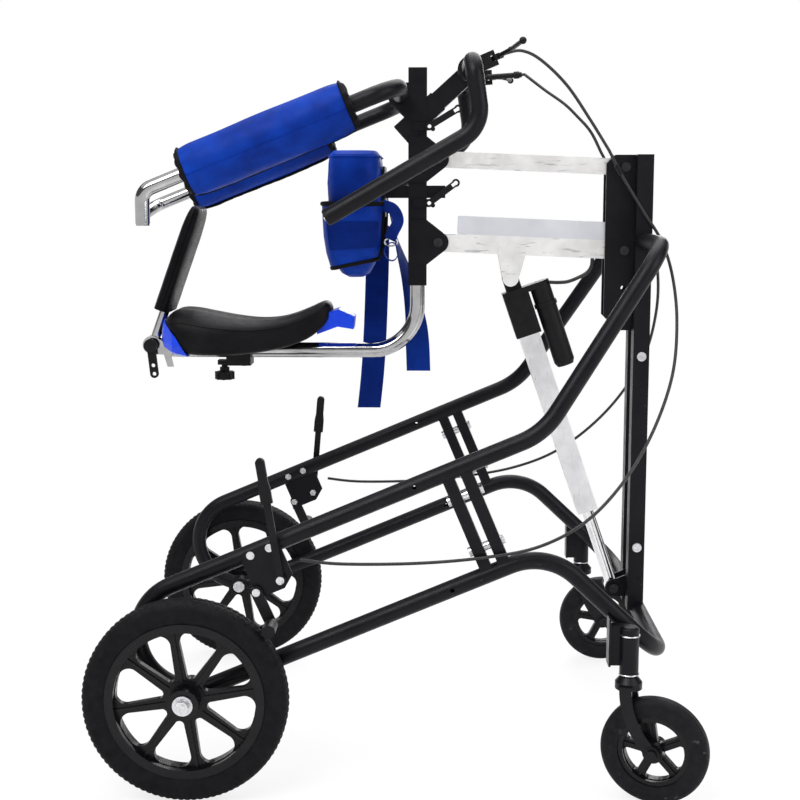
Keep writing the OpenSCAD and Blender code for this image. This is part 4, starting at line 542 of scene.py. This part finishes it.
def chest_half(v):
    """Half the depth and half the width of the foam at a share of its height, in millimetres."""
    for below, above in zip(chest_shares, chest_shares[1:]):
        if v <= above[0]:
            t = (v - below[0]) / (above[0] - below[0])
            deep, wide = (below[i] + (above[i] - below[i]) * t for i in (1, 2))
            return chest_deep / 2 * deep, chest_wide / 2 * wide
    return chest_deep / 2 * chest_shares[-1][1], chest_wide / 2 * chest_shares[-1][2]


def squared(value, power):
    """A cosine or sine pushed outwards, which turns a circle into a rounded square."""
    return math.copysign(abs(value) ** power, value)


def block_turn(angle):
    """The way from the middle of the chest pad's block to its side at an angle."""
    return squared(math.cos(angle), corner_power), squared(math.sin(angle), corner_power)


def chest_point(v, angle, lift=0.0):
    """A point of the pad's cover at a share of its height, lifted by some millimetres."""
    c, s = block_turn(angle)
    deep, wide = chest_half(v)
    z = chest_top - chest_high * (1 - v)
    dent = 1.6 * noise.noise(Vector((c * 1.5, s * 2.5, z / 45)))
    return at(chest_x + (deep - cover_gap + dent + lift) * c, (wide - cover_gap + dent + lift) * s, z)


turns = full_turn(72)
rings = [[chest_point(v, a) for a in turns] for v in chest_levels]
chest = piece("chest_cushion", *loft(rings), blue_cloth, "blue_fabric", "chest", ("chest_pad",))
seam = tube([chest_point(seam_at, a, seam_lift) for a in turns], seam_r, 8, closed=True)
piece("chest_seam", *seam, blue_cloth, "blue_fabric", "chest")

# Belt: a padded band of the same cloth round the lower half of the chest pad, edged with black piping.
# It closes with a hook-and-loop flap on the right.

belt_z, belt_high, belt_thick, belt_gap = 823.0, 106.0, 9.0, math.radians(38.57)
belt_steps = [i / 90 for i in range(91)]
belt_outline = ((-1, 0), (-0.5, 0), (0, 0), (0.5, 0), (1, 0), (1, 0.5), (0.97, 0.85), (0.9, 1), (0.5, 1),
                (0, 1), (-0.5, 1), (-0.9, 1), (-0.97, 0.85), (-1, 0.5))
belt_edge, belt_piping_r = 0.965, 0.0038
flap_shares, flap_ups, flap_raised = (0.70, 0.93), (-0.42, 0.44), 1.6


def belt_point(share, up, out):
    """A point of the belt: its share of the way round, up from -1 to 1, and out through its thickness."""
    c, s = block_turn(belt_gap + 2 * (math.pi - belt_gap) * share)
    slant = 1 - 0.17 * (1 + c) if up < 0 else 1
    z = belt_z + belt_high / 2 * up * slant
    deep, wide = chest_half((z - chest_top + chest_high) / chest_high)
    dent = 0.8 * noise.noise(Vector((share * 14, up * 1.5, 4.0)))
    puff = belt_thick * out * (1 + 0.15 * (1 - up * up)) + out * dent
    return at(chest_x + (deep + cover_gap + puff) * c, (wide + cover_gap + puff) * s, z)


rings = [[belt_point(share, up, out) for up, out in belt_outline] for share in belt_steps]
belt = piece("belt_cushion", *loft(rings), blue_cloth, "blue_fabric", "chest", ("chest_belt",))
for label, up in (("upper", belt_edge), ("lower", -belt_edge)):
    edge = tube([belt_point(share, up, 0.92) for share in belt_steps], belt_piping_r, 8)
    piece(f"belt_{label}_piping", *edge, black_cloth, "blue_fabric", "chest")
for label, share in (("left", 0.0), ("right", 1.0)):
    edge = tube([belt_point(share, belt_edge * (k / 7 - 1), 0.95) for k in range(15)], belt_piping_r, 8)
    piece(f"belt_{label}_end_piping", *edge, black_cloth, "blue_fabric", "chest")
patch_cloth = cloth("hook and loop", (0.0012, 0.0100, 0.10), (0.0024, 0.022, 0.20), (0.7, 0.9),
                    threads=200, relief=0.5)
rings = []
for i in range(17):
    share = flap_shares[0] + (flap_shares[1] - flap_shares[0]) * i / 16
    ups = [flap_ups[0] + (flap_ups[1] - flap_ups[0]) * k / 8 for k in range(9)]
    top = [belt_point(share, up, 1.0 + flap_raised / belt_thick) for up in ups]
    under = [belt_point(share, up, 1.0) for up in ups]
    rings.append(top + under[::-1])
piece("belt_flap", *loft(rings), patch_cloth, "blue_fabric", "chest")

# Webbing: two blue woven straps hang down on the left, one at the belt's side and one beside the upright.
# Each is about 40 mm wide and 1.5 mm thick, cut square at the end.
# A loop, a short tail and a wire ring stand at the belt's right end.

# The two blues are the straps' shaded and lit tones; their random mottle is painted shade.
webbing = cloth("blue webbing", (0.0014, 0.0115, 0.120), (0.0028, 0.029, 0.25), (0.55, 0.72),
                threads=180, relief=0.55)
web_wide, web_half = 0.0396, 0.00075
belt_side, upright_x = 114.4, 338.96
back_plate, strap_gap = 4.0, 1.0
plate_face = chest_x + chest_deep / 2 + back_plate + cover_gap + strap_gap
strap_outline = [(k / 3 - 1, -1) for k in range(7)] + [(1 - k / 3, 1) for k in range(7)]
band_outline = ((-1, -1), (0, -1), (1, -1), (1, 1), (0, 1), (-1, 1))


def smooth_path(points, steps):
    """A smooth line through points, each stretch cut in steps."""
    pts = [Vector(p) for p in points]
    line = []
    for i in range(len(pts) - 1):
        a, b, c, d = pts[max(i - 1, 0)], pts[i], pts[i + 1], pts[min(i + 2, len(pts) - 1)]
        for k in range(steps):
            t = k / steps
            line.append(0.5 * (2 * b + (c - a) * t + (2 * a - 5 * b + 4 * c - d) * t * t
                               + (3 * b - a - 3 * c + d) * t ** 3))
    return line + [pts[-1]]


def strap(name, points, turn_top, stands_for=()):
    """A hanging strap along points; its top is turned about the upright by an angle."""
    line = smooth_path([at(*p) for p in points], 10)
    rings = []
    for i, p in enumerate(line):
        share = i / (len(line) - 1)
        turn = turn_top * min(1.0, max(0.0, 1.5 - 1.67 * share))
        wide = Vector((math.cos(turn), math.sin(turn), 0))
        thin = Vector((-math.sin(turn), math.cos(turn), 0))
        ring = []
        for w, t in strap_outline:
            wave = 0.0009 * math.sin(share * 9 + w * 1.3) + 0.0006 * w * math.sin(share * 14)
            ring.append(p + wide * (web_wide / 2 * w) + thin * (web_half * t + share * wave))
        rings.append(ring)
    made = piece(name, *loft(rings), webbing, "blue_web", "chest", stands_for, crease=50)


strap("front_strap",
      ((chest_x + 31, belt_side, 836), (chest_x + 31, belt_side, 790), (chest_x + 29, belt_side - 4, 716),
       (chest_x + 26, belt_side - 11, 640), (chest_x + 22, belt_side - 15, 580),
       (chest_x + 16, belt_side - 17, 523)), 0.0, ("chest_straps",))
strap("rear_strap",
      ((plate_face, 32, 905), (plate_face + 2.5, 34, 870), (upright_x - 34, 36, 810),
       (upright_x - 16, 36, 750), (upright_x - 4, 32, 690), (upright_x, 28, 645), (upright_x + 2, 28, 596)),
      math.pi / 2)
loop_half, tail_half, wire_r = 0.011, 0.009, 0.0014
loop_x, loop_y, loop_z = 298.0, -98.0, 800.0
rings = []
for a in full_turn(28):
    middle = at(loop_x + 11 * math.cos(a), loop_y, loop_z + (14 + 2 * math.cos(a)) * math.sin(a))
    radial = Vector((math.cos(a), 0, math.sin(a)))
    rings.append([middle + radial * (web_half * t) + Vector((0, loop_half * w, 0)) for w, t in band_outline])
band = loft(rings, ends=False, round_again=True)
loop = piece("strap_loop", *band, webbing, "blue_web", "chest", crease=50)
tail_points = ((284, -97, 872), (301, -100, 866), (309, -104, 849), (302, -106, 832), (296, -104, 819))
line = smooth_path([at(*p) for p in tail_points], 8)
rings = []
for i, p in enumerate(line):
    heading = (line[min(i + 1, len(line) - 1)] - line[max(i - 1, 0)]).normalized()
    across = heading.cross(Vector((0, 1, 0))).normalized()
    curl = 0.002 * math.sin(i / 5)
    rings.append([p + across * (tail_half * w) + Vector((0, web_half * t + curl * w, 0))
                  for w, t in band_outline])
tail = piece("strap_tail", *loft(rings), webbing, "blue_web", "chest", crease=50)
line = oval(at(loop_x, loop_y - 4, loop_z + 15), Vector((0.010, 0, 0)), Vector((0, 0, 0.006)), 24)
piece("strap_ring", *tube(line, wire_r, 8, closed=True), zinc, "zinc", "chest")

# Saddle: a moulded shell under foam, covered in black synthetic leather drawn tight over the edges.
# Bright blue plastic shows at the tail corners and as the nose hook.
# A plastic clamp and a knob hold it on the seat tube.

leather = surface("saddle cover", (0.0034, 0.0033, 0.0040), (0.0078, 0.0076, 0.0088), (0.28, 0.44),
                  mottle=30, grain=1100, relief=0.45, depth=0.0004, shine=0.08)
blue_moulding = surface("blue moulding", (0.0024, 0.040, 0.60), (0.0045, 0.060, 0.78), (0.22, 0.36),
                        mottle=20, grain=900, relief=0.08, shine=0.25)
dress(blue_moulding, "saddle_trim")
dress(shell, "seat_clamp", "seat_knob")
saddle_tail, saddle_foot, saddle_long, saddle_high, saddle_half = -78.04, 633.0, 278.0, 84.0, 95.0
tunnel_roof, tunnel_half = 648.5, 27.0
along_shares = (0, 0.03, 0.09, 0.18, 0.29, 0.43, 0.57, 0.69, 0.79, 0.88, 0.95, 0.985, 1)
top_shares = (0.46, 0.68, 0.83, 0.83, 0.76, 0.68, 0.64, 0.67, 0.76, 0.88, 0.98, 0.96, 0.86)
skirt_shares = (0.27, 0.18, 0.08, 0.02, 0, 0, 0.03, 0.09, 0.18, 0.32, 0.52, 0.68, 0.8)
half_shares = (0.32, 0.66, 0.87, 0.97, 1, 0.93, 0.76, 0.61, 0.5, 0.44, 0.38, 0.27, 0.14)
crown_shares = ((0.45, 0.015), (0.62, 0.045), (0.78, 0.1), (0.88, 0.17), (0.95, 0.27), (0.985, 0.38),
                (1, 0.5))
side_shares = ((0.997, 0.35), (0.99, 0.2), (0.965, 0.09), (0.93, 0.035), (0.85, 0))
stitch_point, stitch_from, stitch_long, stitch_r = 7, 0.06, 0.86, 0.0011


def eased(values, where):
    """A smooth value between those listed along the saddle."""
    last = len(values) - 1
    for i in range(last):
        if where <= along_shares[i + 1]:
            before, after = max(i - 1, 0), min(i + 2, last)
            span = along_shares[i + 1] - along_shares[i]
            t = (where - along_shares[i]) / span
            rise_in = (values[i + 1] - values[before]) / (along_shares[i + 1] - along_shares[before]) * span
            rise_out = (values[after] - values[i]) / (along_shares[after] - along_shares[i]) * span
            return ((2 * t ** 3 - 3 * t * t + 1) * values[i] + (t ** 3 - 2 * t * t + t) * rise_in
                    + (-2 * t ** 3 + 3 * t * t) * values[i + 1] + (t ** 3 - t * t) * rise_out)
    return values[-1]


def saddle_ring(where):
    """The cover's outline across the saddle at a share of its length."""
    top = saddle_foot + saddle_high * eased(top_shares, where)
    low = saddle_foot + saddle_high * eased(skirt_shares, where)
    w = saddle_half * eased(half_shares, where)
    deep = top - low
    roof = max(low, min(tunnel_roof, top - 1.2))
    tunnel = min(tunnel_half, w * 0.7)
    dip = 2.2 * math.exp(-((where - 0.45) / 0.3) ** 2)
    shape = [(0, top - dip), (w * 0.12, top - dip * 0.8), (w * 0.28, top - dip * 0.2)]
    shape += [(w * y, top - deep * z) for y, z in crown_shares]
    shape += [(w * y, low + deep * z) for y, z in side_shares]
    shape += [(tunnel, low), (tunnel * 0.98, roof)]
    points = shape + [(-y, z) for y, z in reversed(shape[1:])]
    return [at(saddle_tail + saddle_long * where, y, z) for y, z in points]


places = sorted([i / 60 for i in range(61)] + [0.012, 0.022, 0.975, 0.992])
saddle = piece("saddle_cover", *loft([saddle_ring(where) for where in places]), leather, "saddle_black",
               "saddle", ("saddle",), crease=50)
for side, label in sides:
    seam = []
    for i in range(51):
        spot = saddle_ring(stitch_from + stitch_long * i / 50)[stitch_point]
        seam.append(Vector((spot.x, side * abs(spot.y), spot.z)))
    piece(f"saddle_{label}_seam", *tube(seam, stitch_r, 6), leather, "saddle_black", "saddle")

# Back rest: a padded panel in black synthetic leather on a chrome post that tilts at the seat tube's end.
# Piping runs up its edges where the front and back covers meet, and a plastic lever clamps its hinge.

back_leather = surface("back cover", (0.0030, 0.0029, 0.0036), (0.0068, 0.0066, 0.0078), (0.24, 0.4),
                       mottle=30, grain=1200, relief=0.4, depth=0.0004, shine=0.05)
dress(chrome, "back_post")
dress(shell, "back_lever")
lean = math.radians(20)
hinge_at = at(upright_x - 438, 0, 643)
back_up = Vector((math.sin(lean), 0, math.cos(lean)))
back_out = Vector((math.cos(lean), 0, -math.sin(lean)))
back_start, back_long, back_half, back_thick = 0.064, 0.176, 0.056, 0.013


def back_point(v, angle, lift=0.0):
    """A point of the panel's cover at a share of its height; only its upper end is rounded."""
    ease = max(0.0, 1 - max(2 * v - 1, 0.0) ** 4) ** 0.5
    c, s = math.cos(angle), math.sin(angle)
    x = back_thick * (0.45 + 0.55 * ease) * squared(c, 0.6)
    y = back_half * (0.72 + 0.28 * ease) * squared(s, 0.5)
    ripple = 0.0005 * noise.noise(Vector((y * 30, v * 5, 2.0)))
    x += math.copysign(ripple + lift * abs(c), c)
    return hinge_at + back_up * (back_start + back_long * v) + back_out * x + Vector((0, y + lift * s, 0))


heights = [0.5 - 0.5 * math.cos(math.pi * i / 36) for i in range(37)]
rings = [[back_point(v, a) for a in turns] for v in heights]
back = piece("back_cushion", *loft(rings), back_leather, "pad_black", "backrest", ("back_pad",), crease=60)
for label, angle in (("left", math.pi / 2), ("right", -math.pi / 2)):
    edge = tube([back_point(v, angle, 0.0006) for v in heights[1:-1]], 0.0017, 8)
    piece(f"back_{label}_piping", *edge, back_leather, "pad_black", "backrest")

# Cables: black jackets over steel wire, from each hand lever over an arc to the mast.
# From there they run down beside the front tubes to the brakes; a clip holds each at the mast.
# The arc flexes between handlebar, carriage, upper arm and mast, so it is made in stretches that meet.

jacket = surface("cable jacket", (0.0028, 0.0028, 0.0032), (0.0065, 0.0065, 0.0072), (0.3, 0.5),
                 mottle=200, grain=2500, relief=0.2)
cable_r, clip_r, lead_r = 0.0025, 0.0042, 0.003
lever_x, lever_y, lever_z = 419.22, 90.67, 1080.27
mast_end = at(642, 51, 958)
# Lever tilt, how far out the jacket leaves, points where the stretches meet, and the arc in shares
arches = {"right": (23, 56, 21, 45, ((0.17, 0.215), (0.345, 0.3), (0.59, 0.284), (0.813, 0.146))),
          "left": (4, 93, 11, 43, ((0.296, 0.092), (0.533, 0.155), (0.699, 0.157), (0.869, 0.129)))}
frame_route = ((666, 50, 915), (700, 51, 860), (728, 56, 815), (744, 72, 760), (748, 100, 690),
               (736, 140, 610), (700, 190, 530), (650, 240, 462), (590, 280, 410), (520, 304, 378),
               (440, 307, 362), (340, 304, 352), (230, 302, 350), (168, 302, 356))
for side, label in sides:
    tilt, leaves, first, second, arch = arches[label]
    tilt = math.radians(tilt)
    start, stub = (at(lever_x + far * math.cos(tilt), lever_y, lever_z + far * math.sin(tilt))
                   for far in (leaves, leaves + 5))
    way = mast_end - start
    bends = [start + way * share - Vector((0, 0, way.z * rise)) for share, rise in arch]
    line = [start] + smooth_path([stub] + bends + [mast_end], 10)
    line = [Vector((p.x, side * p.y, p.z)) for p in line]
    stretches = ((0, first, "handlebar", "carriage"), (first, second, "carriage", "upper_arm"),
                 (second, len(line) - 1, "upper_arm", "frame"))
    for number, (i, j, a, b) in enumerate(stretches):
        stands_for = ("hand_cables",) if side < 0 and number == 0 else ()
        made = piece(f"{label}_hand_cable_{number}", *tube(line[i:j + 1], cable_r, 12), jacket, "cable_black",
                     None, stands_for)
        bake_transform(made)
    run = smooth_path([line[-1]] + [at(x, side * y, z) for x, y, z in frame_route], 10)
    stands_for = ("brake_cables",) if side < 0 else ()
    piece(f"{label}_brake_cable", *tube(run, cable_r, 12), jacket, "cable_black", "frame", stands_for)
    piece(f"{label}_cable_clip", *tube(run[6:10], clip_r, 14), shell, "black_plastic", "frame")
lead_route = ((554, -10, 747), (571.5, -10, 746.6), (588, -10, 749), (612, -10, 760), (622, -10, 771.4),
              (624, -10, 786.4))
line = smooth_path([at(*p) for p in lead_route], 8)
lead = piece("lead", *tube(line, lead_r, 12), jacket, "cable_black", None, ("actuator_lead",))
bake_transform(lead)

# Studio floor: a pale painted sheet that holds the shadow under the walker and fades to white further out.
# Shiny surfaces see its far part as white too.

floor_half, fade_from, fade_to, mirror_from, mirror_to = 9.0, 0.5, 1.3, 1.5, 3.0
floor_paint = surface("studio floor", (0.88, 0.88, 0.88), (0.92, 0.92, 0.92), (0.6, 0.7),
                      mottle=2, grain=40, relief=0.02)
tree = floor_paint.node_tree
rays = add(tree, "ShaderNodeLightPath").outputs
spot = add(tree, "ShaderNodeNewGeometry").outputs["Position"]
away = add(tree, "ShaderNodeVectorMath", {0: spot}, operation="LENGTH").outputs["Value"]
shown = calc(tree, "MULTIPLY", rays["Is Camera Ray"], remap(tree, away, 0.8, 1.0, fade_from, fade_to))
mirrored = remap(tree, away, 0.0, 1.0, mirror_from, mirror_to)
white = calc(tree, "MULTIPLY_ADD", rays["Is Glossy Ray"], mirrored, shown)
glow = add(tree, "ShaderNodeEmission", {"Color": (1, 1, 1, 1), "Strength": 1.0}).outputs["Emission"]
paint = tree.nodes["Principled BSDF"].outputs["BSDF"]
mixed = add(tree, "ShaderNodeMixShader", {0: white, 1: paint, 2: glow})
tree.links.new(mixed.outputs["Shader"], tree.nodes["Material Output"].inputs["Surface"])
corners = [(floor_half * x, floor_half * y, 0) for x, y in ((-1, -1), (1, -1), (1, 1), (-1, 1))]
floor_mesh = bpy.data.meshes.new("studio_floor")
floor_mesh.from_pydata(corners, [], [(0, 1, 2, 3)])
floor_mesh.materials.append(floor_paint)
floor = bpy.data.objects.new("studio_floor", floor_mesh)
bpy.context.scene.collection.objects.link(floor)

# Studio light: four broad soft lamps round the walker, and a white surround as in a catalogue picture.
# Two dark flags in the surround, seen by shiny surfaces alone, give the bright tubes their dark lines.

room_light, mirror_white, mirror_dark = 0.36, 0.92, 0.12
lamps = (("key", (-1.2, -2.0, 2.9), (0, 0, 0.6), 1.8, 75), ("fill", (2.4, -1.6, 1.6), (0, 0, 0.6), 1.6, 30),
         ("top", (0.2, 0.6, 3.0), (0, 0, 0.6), 2.4, 60), ("back", (0.6, 2.6, 1.8), (0, 0, 0.7), 1.8, 35))
for name, where, aim, size, power in lamps:
    light = bpy.data.lights.new(name, "AREA")
    light.energy = power
    light.size = size
    lamp = bpy.data.objects.new(name, light)
    lamp.location = where
    lamp.rotation_euler = (Vector(aim) - Vector(where)).to_track_quat("-Z", "Y").to_euler()
    bpy.context.scene.collection.objects.link(lamp)
world = bpy.data.worlds.new("surround")
bpy.context.scene.world = world
world.use_nodes = True
tree = world.node_tree
rays = add(tree, "ShaderNodeLightPath").outputs
way = add(tree, "ShaderNodeSeparateXYZ", {0: add(tree, "ShaderNodeTexCoord").outputs["Generated"]}).outputs
high_flag = calc(tree, "COMPARE", way["Z"], 0.38, 0.2)
side_flag = calc(tree, "COMPARE", way["X"], 0.85, 0.12)
shine = remap(tree, calc(tree, "MAXIMUM", high_flag, side_flag), mirror_white, mirror_dark)
soft = remap(tree, rays["Is Glossy Ray"], room_light, shine)
background = tree.nodes["Background"]
background.inputs["Color"].default_value = (1, 1, 1, 1)
tree.links.new(remap(tree, rays["Is Camera Ray"], soft, 1.0), background.inputs["Strength"])
bpy.context.scene.view_settings.view_transform = "Standard"

# Camera: the photograph's own view, from the walker's right side at about the height of the grips.
# Its place, turn and lens were fitted to pairs of like points on the two sides of the frame.

pitch, yaw = math.radians(8.285), math.radians(-0.971)
looking = Vector((math.sin(yaw) * math.cos(pitch), math.cos(yaw) * math.cos(pitch), -math.sin(pitch)))
lens = bpy.data.cameras.new("camera")
lens.lens = 63.32
lens.sensor_width = 36.0
camera = bpy.data.objects.new("camera", lens)
camera.location = (0.0391, -2.31668, 0.88775)
camera.rotation_euler = looking.to_track_quat("-Z", "Y").to_euler()
bpy.context.scene.collection.objects.link(camera)
bpy.context.scene.camera = camera
